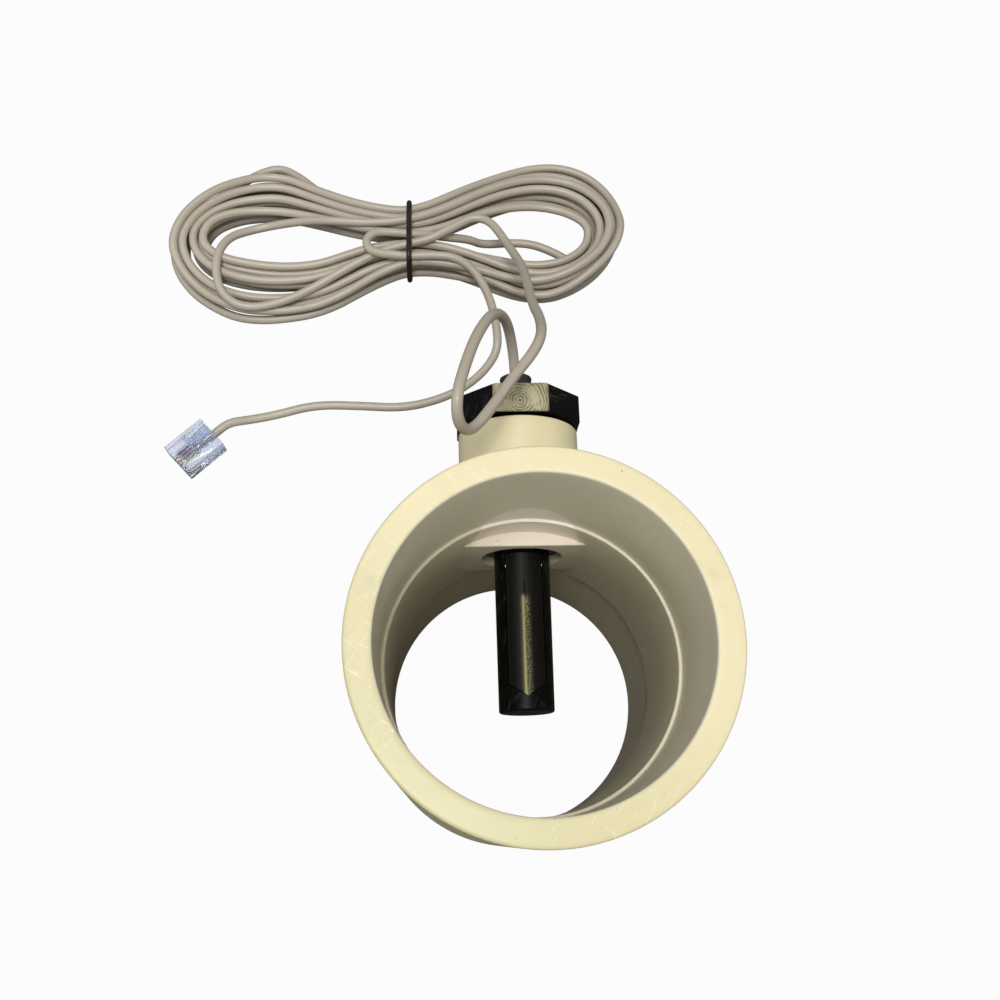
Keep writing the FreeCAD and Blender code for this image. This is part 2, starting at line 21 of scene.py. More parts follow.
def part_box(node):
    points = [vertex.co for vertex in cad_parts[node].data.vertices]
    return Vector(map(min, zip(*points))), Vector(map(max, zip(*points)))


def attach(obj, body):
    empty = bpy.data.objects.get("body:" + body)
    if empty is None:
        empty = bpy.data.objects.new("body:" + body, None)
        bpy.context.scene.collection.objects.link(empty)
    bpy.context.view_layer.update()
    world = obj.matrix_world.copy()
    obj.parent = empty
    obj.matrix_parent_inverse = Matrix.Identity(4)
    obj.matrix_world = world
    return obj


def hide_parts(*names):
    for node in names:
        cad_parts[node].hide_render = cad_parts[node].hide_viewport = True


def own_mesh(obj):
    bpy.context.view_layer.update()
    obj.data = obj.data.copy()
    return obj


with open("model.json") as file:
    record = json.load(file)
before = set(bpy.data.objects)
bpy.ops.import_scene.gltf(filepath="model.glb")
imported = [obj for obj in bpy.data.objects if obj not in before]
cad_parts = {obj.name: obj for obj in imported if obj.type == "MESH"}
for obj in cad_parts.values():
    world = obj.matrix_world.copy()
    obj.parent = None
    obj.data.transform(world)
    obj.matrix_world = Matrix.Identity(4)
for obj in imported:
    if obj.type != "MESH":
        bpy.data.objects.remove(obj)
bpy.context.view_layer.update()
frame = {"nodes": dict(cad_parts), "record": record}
mm = 0.001
nodes = frame["nodes"]

# %% [markdown]
# ## Camera
#
# The picture was taken by hand from above the tee, a little in front of its axis and with a slight roll. The
# place, the point it looks at and the roll were fitted to the round edges of the tee, so the same edges fall
# on the same places of a square frame.

# %% Camera
camera_place = Vector((-18.26, -33.19, 290.79)) * mm
camera_aim = Vector((-4.48, 40.22, 50.0)) * mm
camera_roll = math.radians(9.469)
camera_lens = 39.95


def add_camera():
    """A camera that looks at a point, turned about its own line of sight."""
    data = bpy.data.cameras.new("camera")
    data.lens = camera_lens
    data.sensor_width = 36.0
    data.clip_start = 0.01
    data.clip_end = 20.0
    camera = bpy.data.objects.new("camera", data)
    bpy.context.scene.collection.objects.link(camera)
    sight = (camera_aim - camera_place).to_track_quat("-Z", "Y")
    camera.rotation_mode = "QUATERNION"
    camera.rotation_quaternion = sight @ Quaternion((0, 0, 1), camera_roll)
    camera.location = camera_place
    bpy.context.scene.camera = camera
    return camera


add_camera()

# %% [markdown]
# ## Shader maths
#
# A finish is a small program on each point of a surface. Wiring it node by node hides what it says, so one
# class holds a socket and lets it take part in ordinary arithmetic. Every plus or times adds a Math node, and
# one method adds any other kind of node.

# %% A socket that can be reckoned with


class Paint:
    """One output socket of a material. Arithmetic on it adds Math nodes to the same material."""

    def __init__(self, tree, socket=None):
        self.tree = tree
        self.socket = socket

    def node(self, kind, settings=None, sockets=None, output=0):
        """Add a node: its settings first, then its input sockets, and give back one of its outputs."""
        made = self.tree.nodes.new(kind)
        for name, value in (settings or {}).items():
            setattr(made, name, value)
        for name, value in (sockets or {}).items():
            if isinstance(value, Paint):
                self.tree.links.new(value.socket, made.inputs[name])
            else:
                made.inputs[name].default_value = value
        return Paint(self.tree, made.outputs[output])

    def math(self, operation, *values):
        """A Math node on these values."""
        return self.node("ShaderNodeMath", {"operation": operation}, dict(enumerate(values)))

    def __add__(self, other):
        return self.math("ADD", self, other)

    def __radd__(self, other):
        return self.math("ADD", other, self)

    def __sub__(self, other):
        return self.math("SUBTRACT", self, other)

    def __rsub__(self, other):
        return self.math("SUBTRACT", other, self)

    def __mul__(self, other):
        return self.math("MULTIPLY", self, other)

    def __rmul__(self, other):
        return self.math("MULTIPLY", other, self)

    def __truediv__(self, other):
        return self.math("DIVIDE", self, other)

    def __pow__(self, other):
        return self.math("POWER", self, other)

    def size(self):
        """The value without its sign."""
        return self.math("ABSOLUTE", self)

    def most(self, other):
        """The larger of two values."""
        return self.math("MAXIMUM", self, other)

    def step(self, low, high):
        """A smooth rise from 0 at low to 1 at high."""
        settings = {"interpolation_type": "SMOOTHSTEP"}
        if low > high:
            return 1 - self.step(high, low)
        return self.node("ShaderNodeMapRange", settings, {0: self, 1: low, 2: high, 3: 0.0, 4: 1.0})

    def ridge(self, middle, half):
        """A smooth bump, 1 at middle and 0 beyond half away from it."""
        return (self - middle).size().step(half, 0.0)

    def blend(self, under, over):
        """Between two colours, by this value as the share of the second."""
        settings = {"data_type": "RGBA", "clamp_factor": True}
        return self.node("ShaderNodeMix", settings, {0: self, 6: under, 7: over}, output=2)


def srgb(red, green, blue):
    """A colour as it looks on a screen, 0 to 255, as the linear colour that a shader takes."""
    shown = np.array([red, green, blue]) / 255
    linear = np.where(shown <= 0.04045, shown / 12.92, ((shown + 0.055) / 1.055) ** 2.4)
    return (*linear.tolist(), 1.0)


print("black and white as linear colours:", srgb(0, 0, 0), srgb(255, 255, 255))

# %% [markdown]
# Every finish starts the same way: a material with one Principled surface, and the place of each point on the
# piece in metres. The pattern helpers below are used by several finishes.

# %% Start a finish and its common patterns


class Finish(Paint):
    """A new material with its Principled surface, the place of a point and a few patterns on it."""

    def __init__(self, name, **fixed):
        self.material = bpy.data.materials.new(name)
        self.material.use_nodes = True
        super().__init__(self.material.node_tree)
        self.surface = self.tree.nodes["Principled BSDF"]
        for socket, value in fixed.items():
            self.surface.inputs[socket.replace("_", " ")].default_value = value
        self.place = self.node("ShaderNodeTexCoord", output="Object")
        self.x, self.y, self.z = (
            self.node("ShaderNodeSeparateXYZ", None, {0: self.place}, output=axis) for axis in range(3)
        )

    def stretched(self, scale):
        """The place of a point, with each axis scaled by its own number."""
        return self.node("ShaderNodeMapping", None, {"Vector": self.place, "Scale": scale})

    def noise(self, period, detail=2.0, rough=0.5, vector=None):
        """Soft random patches about one period across, from 0 to 1."""
        sockets = {"Vector": vector or self.place, "Scale": 1 / period, "Detail": detail, "Roughness": rough}
        return self.node("ShaderNodeTexNoise", None, sockets)

    def spots(self, period, share, vector=None):
        """1 inside small round spots, one in each cell of a period, 0 between them."""
        sockets = {"Vector": vector or self.place, "Scale": 1 / period}
        return self.node("ShaderNodeTexVoronoi", None, sockets).step(share, share * 0.6)

    def scratches(self, period, angle, thin=0.02):
        """Fine straight scratches that run one way and break up along their length."""
        turned = self.node("ShaderNodeMapping", None, {"Vector": self.place, "Rotation": angle})
        long = self.node("ShaderNodeMapping", None, {"Vector": turned, "Scale": (1.0, 0.06, 0.06)})
        streak = self.noise(period, detail=3.0, vector=long)
        return streak.ridge(0.5, thin)

    def set(self, **values):
        """Link values to the sockets of the surface that change over it."""
        for socket, value in values.items():
            self.tree.links.new(value.socket, self.surface.inputs[socket.replace("_", " ")])

    def bump(self, height, depth, strength=1.0):
        """Raise the surface by depth metres where height is 1."""
        sockets = {"Height": height, "Distance": depth, "Strength": strength}
        self.set(Normal=self.node("ShaderNodeBump", None, sockets))


def dress(piece, finish):
    """Give a piece one finish."""
    piece.data.materials.clear()
    piece.data.materials.append(finish.material)
    return piece


# %% [markdown]
# ## Floor and light
#
# The floor looks white and takes only a faint shadow. As a surface it is dark and gives little light back,
# so the inside of the tee stays shaded low down. The main lamp hangs overhead and a little left, because the
# ledge and the flat over the side hole are lit. A weak one behind the head adds to the olive sheen that is
# painted on its upper facet. Weak ones in front and at the sides light the socket's walls and the outside.

# %% Floor
floor_half = 3.0
floor_drop = 0.04 * mm


def floor_finish():
    """A sheet that glows where it is seen, so it looks white, and that gives little light back."""
    finish = Finish("floor_white", Roughness=0.9)
    finish.set(Base_Color=finish.noise(0.4).blend(srgb(88, 88, 88), srgb(94, 94, 93)))
    direct = finish.node("ShaderNodeLightPath", output="Is Camera Ray")
    through = finish.node("ShaderNodeLightPath", output="Is Transmission Ray")
    seen = direct.most(through)
    glow = finish.node("ShaderNodeEmission", None, {"Color": srgb(255, 255, 255), "Strength": 1.0})
    lit = Paint(finish.tree, finish.surface.outputs[0])
    mixed = finish.node("ShaderNodeMixShader", None, {0: seen * 0.97, 1: lit, 2: glow})
    finish.tree.links.new(mixed.socket, finish.tree.nodes["Material Output"].inputs["Surface"])
    return finish


def add_floor():
    """One large square just under the tee's lower end."""
    h = floor_half
    mesh = bpy.data.meshes.new("floor")
    corners = [(-h, -h, -floor_drop), (h, -h, -floor_drop), (h, h, -floor_drop), (-h, h, -floor_drop)]
    mesh.from_pydata(corners, [], [(0, 1, 2, 3)])
    floor = bpy.data.objects.new("floor", mesh)
    bpy.context.scene.collection.objects.link(floor)
    dress(floor, floor_finish())
    return floor


add_floor()

# %% Light


def add_lamp(name, place, aim, side, power, colour):
    """A square soft lamp that faces a point."""
    data = bpy.data.lights.new(name, "AREA")
    data.shape = "SQUARE"
    data.size = side
    data.energy = power
    data.color = colour
    lamp = bpy.data.objects.new(name, data)
    bpy.context.scene.collection.objects.link(lamp)
    lamp.location = place
    lamp.rotation_mode = "QUATERNION"
    lamp.rotation_quaternion = (Vector(aim) - Vector(place)).to_track_quat("-Z", "Y")
    return lamp


def add_sky(strength, colour):
    """An even pale sky. The camera sees it white, also through clear pieces."""
    world = bpy.data.worlds.new("sky")
    world.use_nodes = True
    sky = Paint(world.node_tree)
    direct = sky.node("ShaderNodeLightPath", output="Is Camera Ray")
    through = sky.node("ShaderNodeLightPath", output="Is Transmission Ray")
    background = world.node_tree.nodes["Background"]
    background.inputs["Color"].default_value = (*colour, 1.0)
    level = direct.most(through) * (1.0 - strength) + strength
    world.node_tree.links.new(level.socket, background.inputs["Strength"])
    bpy.context.scene.world = world


middle = (0.0, 0.05, 0.04)
add_sky(0.24, (0.97, 0.98, 1.0))
add_lamp("lamp_top", (-0.12, -0.04, 1.2), middle, 0.36, 6.9, (1.0, 0.98, 0.965))
add_lamp("lamp_back", (-0.1, 0.56, 1.15), middle, 0.4, 1.9, (1.0, 0.99, 0.97))
add_lamp("lamp_front", (0.05, -0.95, 0.75), middle, 0.5, 3.0, (0.97, 0.98, 1.0))
add_lamp("lamp_left", (-0.95, 0.1, 0.55), middle, 0.5, 1.8, (0.97, 0.98, 1.0))
add_lamp("lamp_right", (0.9, 0.25, 0.55), middle, 0.5, 1.5, (1.0, 0.99, 0.97))
bpy.context.scene.view_settings.view_transform = "Standard"

# %% [markdown]
# ## The cable
#
# The lead is one cable, 2.4 mm round. It comes out of the head, rises in a loop above the branch, drops to
# the floor and joins the hank. The hank is twelve long turns tied in the middle, and the last turn comes back
# through the tie and runs to the plug. All of it is one smooth curve, because a real cable has no joints.
#
# The free stretches follow listed points, in millimetres. So do the hank's first and last strands,
# which cross the others, and only their heights are worked out.

# %% Cable: the free stretches
cable_radius = 1.2 * mm
LEAD_POINTS = [
    (0.0, 59.98, 50.0),
    (0.0, 69.5, 50.0),
    (-0.8, 76.5, 54.5),
    (-2.7, 79.8, 62.5),
    (-6.2, 76.2, 72.5),
    (-10.2, 66.8, 80.5),
    (-13.0, 57.3, 85.0),
    (-14.6, 50.6, 87.0),
    (-14.4, 45.8, 83.6),
    (-11.6, 46.0, 78.2),
    (-6.6, 53.4, 75.2),
    (-2.0, 60.8, 73.2),
    (2.4, 66.8, 71.5),
    (4.8, 72.4, 69.0),
    (5.2, 80.2, 61.5),
    (4.8, 89.5, 49.5),
    (5.0, 101.5, 36.5),
    (4.8, 112.6, 26.0),
    (2.6, 122.4, 17.5),
    (0.2, 129.8, 12.8),
    (-2.8, 135.4, 11.2),
    (-7.4, 137.0, 10.8),
    (-12.8, 134.0, 10.6),
    (-18.2, 131.0, 10.5),
]
FIRST_TURN = [
    (5.0, -2.2),
    (0.0, -3.3),
    (-8.0, -5.4),
    (-17.0, -9.8),
    (-27.0, -15.6),
    (-36.5, -20.2),
    (-46.0, -22.0),
    (-52.2, -18.4),
    (-54.2, -12.0),
    (-54.0, -5.6),
    (-51.4, 0.8),
    (-46.0, 4.8),
    (-37.0, 6.6),
    (-26.0, 5.2),
    (-14.0, 4.0),
    (-6.0, 4.2),
]
FOLD = [
    (54.8, 6.5),
    (55.6, 1.4),
    (53.2, -3.8),
    (47.6, -4.9),
    (42.0, -1.2),
    (36.0, 1.4),
    (30.0, 1.9),
    (21.0, 1.2),
]
MIDDLE = [
    (17.5, 0.8),
    (11.0, 0.4),
    (3.0, 0.2),
]
TURNBACK = [
    (-2.0, 0.4),
    (-8.4, 0.6),
    (-11.1, -0.6),
    (-12.3, -3.3),
    (-11.1, -6.0),
    (-8.4, -7.2),
    (-4.0, -7.9),
    (0.0, -8.5),
    (6.5, -8.2),
    (12.5, -8.6),
]
TAIL_POINTS = [
    (-8.0, 120.8, 10.6),
    (-3.6, 114.0, 8.0),
    (-1.5, 106.6, 4.6),
    (-0.9, 100.0, 1.8),
    (-4.4, 94.0, 1.25),
    (-10.0, 88.8, 1.25),
    (-17.5, 84.8, 1.25),
    (-28.0, 82.2, 1.25),
    (-40.0, 83.0, 1.25),
    (-52.5, 83.4, 1.25),
    (-63.0, 80.4, 1.3),
    (-70.3, 78.8, 1.9),
    (-75.6, 77.6, 3.2),
    (-79.43, 74.12, 3.2),
    (-82.59, 71.27, 3.2),
]

# %% [markdown]
# A tied hank is a figure of eight that never crosses: two long lobes, one each side of the tie. Near the tie
# the strands lie close, in a bundle three or four deep. At the ends they fan out. Each turn runs between the
# hank's inner and outer outline, in a lane that shifts from turn to turn. Because strands are wound one after
# another, each lies on those below it, so the heights come from dropping them one by one.

# %% Cable: the turns of the hank
hank_middle = np.array([-25.9, 132.2])
OUTER_LINE = np.array(
    [
        [0, -10.0], [-12, -14.6], [-24, -20.6], [-35.5, -22.6], [-47, -22.4], [-57, -18.0], [-64.7, -10.2],
        [-67.8, -1.5], [-64.4, 7.0], [-57, 15.0], [-47, 20.8], [-37.5, 22.4], [-25, 16.4], [-13, 11.8],
        [0, 9.8], [10.5, 14.5], [23, 21.0], [36, 25.8], [46.5, 25.6], [55, 21.0], [60.3, 13.0],
        [61.4, 3.0], [57, -7.2], [49, -14.4], [39.5, -18.4], [30, -17.4], [20, -13.8], [10, -11.2],
    ]
)
INNER_LINE = np.array(
    [
        [0, -1.6], [-13, -3.0], [-25, -6.8], [-35.5, -7.8], [-44, -7.0], [-52.0, -6.0], [-57.0, -3.4],
        [-59.2, 1.0], [-56.8, 5.3], [-51.4, 8.0], [-44, 9.1], [-36, 9.0], [-25, 6.6], [-13, 3.2],
        [0, 1.4], [11, 4.0], [22, 8.6], [32.5, 11.0], [41, 10.8], [47.6, 8.2], [51.4, 5.2],
        [52.3, 0.5], [50, -4.0], [44.5, -7.2], [37, -8.0], [29, -6.6], [20, -4.2], [10, -2.0],
    ]
)
TIE_LANES = [0.4, 0.9, 0.6, 0.3, 0.0, 0.15, 0.45, 0.75, 0.9, 0.6, 0.3, 0.0]
LEFT_LANES = [0.8, 0.92, 0.66, 0.36, 0.05, 0.12, 0.34, 0.8, 1.0, 0.68, 0.36, 0.08]
RIGHT_LANES = [0.6, 1.0, 0.7, 0.36, 0.02, 0.12, 0.42, 0.72, 0.9, 0.62, 0.34, 0.3]
LANE_PLACES = [0.0, 0.13, 0.37, 0.5, 0.63, 0.87]
loop_first = 0.5
loop_last = 11.7
step_length = 2.4
strand_gap = 2.42


def smoothed(values, reach):
    """A running mean over reach values each side, with the ends held."""
    padded = np.pad(values, reach, mode="edge")
    return np.convolve(padded, np.ones(2 * reach + 1) / (2 * reach + 1), mode="valid")


def through(points, place):
    """A smooth closed line through the points, at places counted in points (Catmull and Rom's formula)."""
    first = np.floor(place).astype(int)
    t = (place - first)[:, None]
    a, b, c, d = (points[(first + k) % len(points)] for k in (-1, 0, 1, 2))
    return b + 0.5 * t * (c - a + t * (2 * a - 5 * b + 4 * c - d + t * (3 * (b - c) + d - a)))


def evenly(points, gap):
    """Points every gap along a line."""
    points = np.array(points, float)
    run = np.append(0, np.cumsum(np.linalg.norm(np.diff(points, axis=0), axis=1)))
    places = np.linspace(0, run[-1], int(run[-1] / gap))
    return np.column_stack([np.interp(places, run, points[:, k]) for k in range(2)])


def loops():
    """Plan of the turns, in millimetres from the tie: inner line + (outer line - inner line) x lane."""
    turn = np.arange(loop_first, loop_last, 1 / 400)
    place = len(OUTER_LINE) * (turn % 1.0)
    knots = np.add.outer(np.arange(len(TIE_LANES)), LANE_PLACES).ravel()
    six = [TIE_LANES, LEFT_LANES, LEFT_LANES, TIE_LANES, RIGHT_LANES, RIGHT_LANES]
    lanes = np.stack(six, axis=1).ravel()
    lane = smoothed(np.interp(turn, knots, lanes), 20)[:, None]
    plan = through(INNER_LINE, place) * (1 - lane) + through(OUTER_LINE, place) * lane
    fan = np.sin(2 * np.pi * turn) ** 2
    wander = 0.5 * fan * np.sin(2.1 * turn * np.pi + 1.7 * np.floor(turn))
    wave = 4.8 * np.exp(-(((plan[:, 0] + 38) / 11) ** 2)) * (np.abs(turn - 8.37) < 0.2)
    plan[:, 1] += wander + wave
    return evenly(plan, step_length)


def dropped(plan):
    """Heights of the strands when they are laid one after another, the last of the list first."""
    floor = 1.25 + 1.5 * np.exp(-((plan[:, 0] / 12) ** 2))
    height = floor.copy()
    count = len(plan)
    for i in range(count - 2, -1, -1):
        laid = np.arange(i + 12, count)
        away = np.linalg.norm(plan[laid] - plan[i], axis=1)
        near = laid[away < strand_gap]
        if len(near):
            rise = np.sqrt(strand_gap**2 - away[away < strand_gap] ** 2)
            height[i] = max(floor[i], (height[near] + rise).max())
    return height


def lifted(points, plan, height):
    """Points of a strand in the frame, each as high as the nearest place of the dropped strand."""
    points = np.array(points, float)
    nearest = [np.argmin(np.linalg.norm(plan - point, axis=1)) for point in points]
    return np.column_stack([points + hank_middle, height[nearest]])


def hank_points():
    """Control points of the whole hank. The strands to be dropped are listed with the topmost first."""
    turns = loops()
    strands = [TURNBACK, FIRST_TURN, MIDDLE, turns[::3], FOLD]
    plans = [evenly(strand, step_length) for strand in strands]
    plans[3] = turns
    height = dropped(np.vstack(plans))
    ends = np.cumsum([len(plan) for plan in plans])[:-1]
    solid = []
    for strand, plan, rise in zip(strands, plans, np.split(height, ends)):
        padded = np.pad(rise, 3, mode="edge")
        widest = np.max([padded[k : k + len(rise)] for k in range(7)], axis=0)
        solid.append(lifted(strand, plan, smoothed(widest, 3)))
    turnback, first, middle, loose, fold = solid
    print(f"hank: {len(loose)} points in its turns, top strand at {height.max():.1f} mm")
    return np.vstack([first, loose, fold, middle, turnback]).tolist()


def add_cable():
    """One open NURBS curve of order 3 through the lead, the hank and the tail."""
    route = LEAD_POINTS + hank_points() + TAIL_POINTS
    curve = bpy.data.curves.new("cable", "CURVE")
    curve.dimensions = "3D"
    curve.resolution_u = 6
    curve.bevel_depth = cable_radius
    curve.bevel_resolution = 5
    curve.use_fill_caps = True
    spline = curve.splines.new("NURBS")
    spline.points.add(len(route) - 1)
    for point, place in zip(spline.points, route):
        point.co = (*(Vector(place) * mm), 1.0)
    spline.order_u = 3
    spline.use_endpoint_u = True
    spline.use_smooth = True
    cable = bpy.data.objects.new("cable", curve)
    bpy.context.scene.collection.objects.link(cable)
    return cable


def length_along(curve_object):
    """A curve's own line and its length, read from its mesh without thickness."""
    bare = bpy.data.objects.new("bare", curve_object.data.copy())
    bare.data.bevel_depth = 0.0
    mesh = bpy.data.meshes.new_from_object(bare)
    line = np.array([vertex.co for vertex in mesh.vertices])
    bpy.data.meshes.remove(mesh)
    bpy.data.curves.remove(bare.data)
    return line, np.linalg.norm(np.diff(line, axis=0), axis=1).sum()


cable = add_cable()
cable_line, cable_length = length_along(cable)
print(f"cable: {cable_length:.3f} m, {len(cable_line)} points along it")


def jacket_finish():
    """Grey cable jacket: glossy, slightly warm, with faint dirt and rubbed patches."""
    finish = Finish("grey_jacket", IOR=1.5)
    patches = finish.noise(0.02, detail=3.0)
    clean = patches.blend(srgb(172, 163, 147), srgb(194, 185, 168))
    dirt = finish.noise(0.006, detail=5.0, rough=0.65).step(0.62, 0.8) * 0.35
    finish.set(Base_Color=dirt.blend(clean, srgb(122, 108, 86)))
    finish.set(Roughness=0.24 + finish.noise(0.004) * 0.2 + dirt * 0.4)
    finish.bump(finish.noise(0.0016, detail=3.0) + patches * 2.0, 0.02 * mm)
    return finish


dress(cable, jacket_finish())
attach(cable, "housing")
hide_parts("cable_lead", "cable_coil", "cable_tail")

# %% [markdown]
# ## Surfaces from formulas
#
# The pieces below are grids of points. A grid's rows and columns follow the shape, so a hole or a branch is
# met by bending the grid round it. Neighbouring grids share their border points, and merging the doubles
# welds them into one closed skin.

# %% Grids, arcs and meshes


def arc(centre, radius, start, end, count):
    """Points on a circle: centre plus radius times cosine and sine of evenly spaced angles in degrees."""
    angle = np.radians(np.linspace(start, end, count))
    return np.stack([centre[0] + radius * np.cos(angle), centre[1] + radius * np.sin(angle)], axis=1)


def line(start, end, count):
    """Evenly spaced points from start to end."""
    return np.linspace(np.asarray(start, float), np.asarray(end, float), count)


def grid_faces(rows, columns, loop=False):
    """Faces between neighbouring rows of points that close round. A loop closes the rows too."""
    row, column = np.meshgrid(np.arange(rows if loop else rows - 1), np.arange(columns), indexing="ij")
    row, column = row.ravel(), column.ravel()
    next_row, next_column = (row + 1) % rows, (column + 1) % columns
    corners = [
        row * columns + column,
        row * columns + next_column,
        next_row * columns + next_column,
        next_row * columns + column,
    ]
    return np.stack(corners, axis=1)


def add_piece(name, grids, body, sharp=40.0, weld=0.002):
    """Make one mesh object from grids of points in millimetres, given as (points, faces) pairs."""
    points, faces, first = [], [], 0
    for part_points, part_faces in grids:
        flat = np.asarray(part_points, float).reshape(-1, 3)
        points.append(flat)
        faces.append(np.asarray(part_faces) + first)
        first += len(flat)
    mesh = bpy.data.meshes.new(name)
    mesh.from_pydata((np.concatenate(points) * mm).tolist(), [], np.concatenate(faces).tolist())
    work = bmesh.new()
    work.from_mesh(mesh)
    bmesh.ops.remove_doubles(work, verts=work.verts, dist=weld * mm)
    bmesh.ops.dissolve_degenerate(work, edges=work.edges, dist=weld * mm / 4)
    bmesh.ops.recalc_face_normals(work, faces=work.faces)
    work.to_mesh(mesh)
    work.free()
    mesh.shade_smooth()
    mesh.set_sharp_from_angle(angle=math.radians(sharp))
    piece = bpy.data.objects.new(name, mesh)
    bpy.context.scene.collection.objects.link(piece)
    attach(piece, body)
    print(f"{name}: {len(mesh.polygons)} faces")
    return piece


def turned(profile, columns):
    """A profile of (radius, y) points turned about the branch's axis: x = r cos a, z = r sin a."""
    angle = np.linspace(0, 2 * np.pi, columns, endpoint=False)
    radius, along = np.asarray(profile, float).T
    x = radius[:, None] * np.cos(angle)
    z = middle_z + radius[:, None] * np.sin(angle)
    y = np.repeat(along[:, None], columns, axis=1)
    return np.stack([x, y, z], axis=2)


# %% [markdown]
# ## The tee
#
# A moulded socket tee is two tubes that meet. The main skin is a profile turned about the pipe's axis: up the
# outside, over the rim, down the socket, over the ledge and along the bore. Two windows are left out of it,
# one outside where the branch stands, and one inside where a flat pad surrounds the side hole.
#
# A second grid joins the windows. It runs from the inner window over the pad, through the side hole and the
# tapped hole, round the branch's end, down its outside and through a rolled fillet to the outer window.

# %% Tee: its sizes
tee_high = np.array(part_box("tee_body")[1]) / mm
mount = {m["name"]: m for m in frame["record"]["mounts"]}
tee_length = tee_high[2]
tee_radius = tee_high[0]
branch_end = tee_high[1]
socket_radius = mount["socket_upper"]["dims"]["r_mm"]
socket_depth = 30.9
bore_radius = socket_radius - 0.65
rim_round = 0.55
mouth_round = 0.5
ledge_round = 0.18
pad_plane = bore_radius - 3.1
pad_half = 11.05
pad_round = 0.22
port_radius = 8.88
port_end = branch_end - 14.7
tapped_radius = 10.45
branch_radius = tapped_radius + 3.22
branch_round = 0.5
fillet = 2.5
middle_z = tee_length / 2
window_cells = 40
outer_window_angle = math.radians(32.0)
outer_window_half = 20.0
inner_window_angle = math.acos(pad_plane / bore_radius)
print("tee:", round(tee_length, 2), round(tee_radius, 2), round(branch_end, 2), "socket", socket_radius)

# %% Tee: the turned skin


def tee_columns(window_angle, rest=112):
    """Angles round the pipe: even inside the window, which is centred on the branch, and even outside it."""
    inside = np.linspace(-window_angle, window_angle, window_cells + 1)
    outside = np.linspace(window_angle, 2 * np.pi - window_angle, rest + 1)[1:-1]
    return np.pi / 2 + np.concatenate([inside, outside])


def half_profile():
    """The wall's upper half as (radius, height over the middle, share) points, from the outer window's top to
    the inner one's.

    The share slides the columns from the outer window's angles to the inner one's on the way.
    """
    top = tee_length / 2
    ledge = top - socket_depth
    wall_end = socket_radius + mouth_round
    parts = [
        line((tee_radius, outer_window_half), (tee_radius, top - rim_round), 10),
        arc((tee_radius - rim_round, top - rim_round), rim_round, 0, 90, 6),
        line((tee_radius - rim_round, top), (wall_end, top), 6),
        arc((wall_end, top - mouth_round), mouth_round, 90, 180, 6),
        line((socket_radius, top - mouth_round), (socket_radius, ledge + ledge_round), 16),
        arc((socket_radius - ledge_round, ledge + ledge_round), ledge_round, 0, -90, 4),
        arc((bore_radius + ledge_round, ledge - ledge_round), ledge_round, 90, 180, 4),
        line((bore_radius, ledge - ledge_round), (bore_radius, pad_half), 6),
    ]
    joined = np.concatenate(parts)
    share = np.concatenate([[0.0], np.cumsum(np.linalg.norm(np.diff(joined, axis=0), axis=1))])
    return np.column_stack([joined, share / share[-1]])


def tee_skin():
    """The turned grid as points, with faces that leave the two windows open."""
    upper = half_profile()
    lower = upper[::-1] * [1, -1, 1]
    outside = line((tee_radius, -outer_window_half, 0), (tee_radius, outer_window_half, 0), window_cells + 1)
    inside = line((bore_radius, pad_half, 1), (bore_radius, -pad_half, 1), window_cells + 1)
    profile = np.concatenate([outside, upper[1:], inside[1:], lower[1:-1]])
    radius, height, share = profile[:, :1], profile[:, 1:2], profile[:, 2:]
    angle = (1 - share) * tee_columns(outer_window_angle) + share * tee_columns(inner_window_angle)
    points = np.stack([radius * np.cos(angle), radius * np.sin(angle), middle_z + height + 0 * angle], axis=2)
    rows, columns = angle.shape
    faces = grid_faces(rows, columns, loop=True)
    row, column = faces[:, 0] // columns, faces[:, 0] % columns
    first_inside = window_cells + len(upper) - 1
    open_row = (row < window_cells) | ((row >= first_inside) & (row < first_inside + window_cells))
    keep = ~(open_row & (column < window_cells))
    return points, faces[keep]


# %% Tee: the grid through the branch


def window_border(across, along):
    """The border of a window as a closed row of (across, along) pairs, anticlockwise from its low corner."""
    n = window_cells
    low = np.column_stack([across, np.full(n + 1, along[0])])
    far = np.column_stack([np.full(n + 1, across[-1]), along])
    high = np.column_stack([across[::-1], np.full(n + 1, along[-1])])
    near = np.column_stack([np.full(n + 1, across[0]), along[::-1]])
    return np.concatenate([low[:-1], far[:-1], high[:-1], near[:-1]])


def ring_angles(x, height):
    """The direction of each border point from the branch's axis, without jumps."""
    return np.unwrap(np.arctan2(height, x))


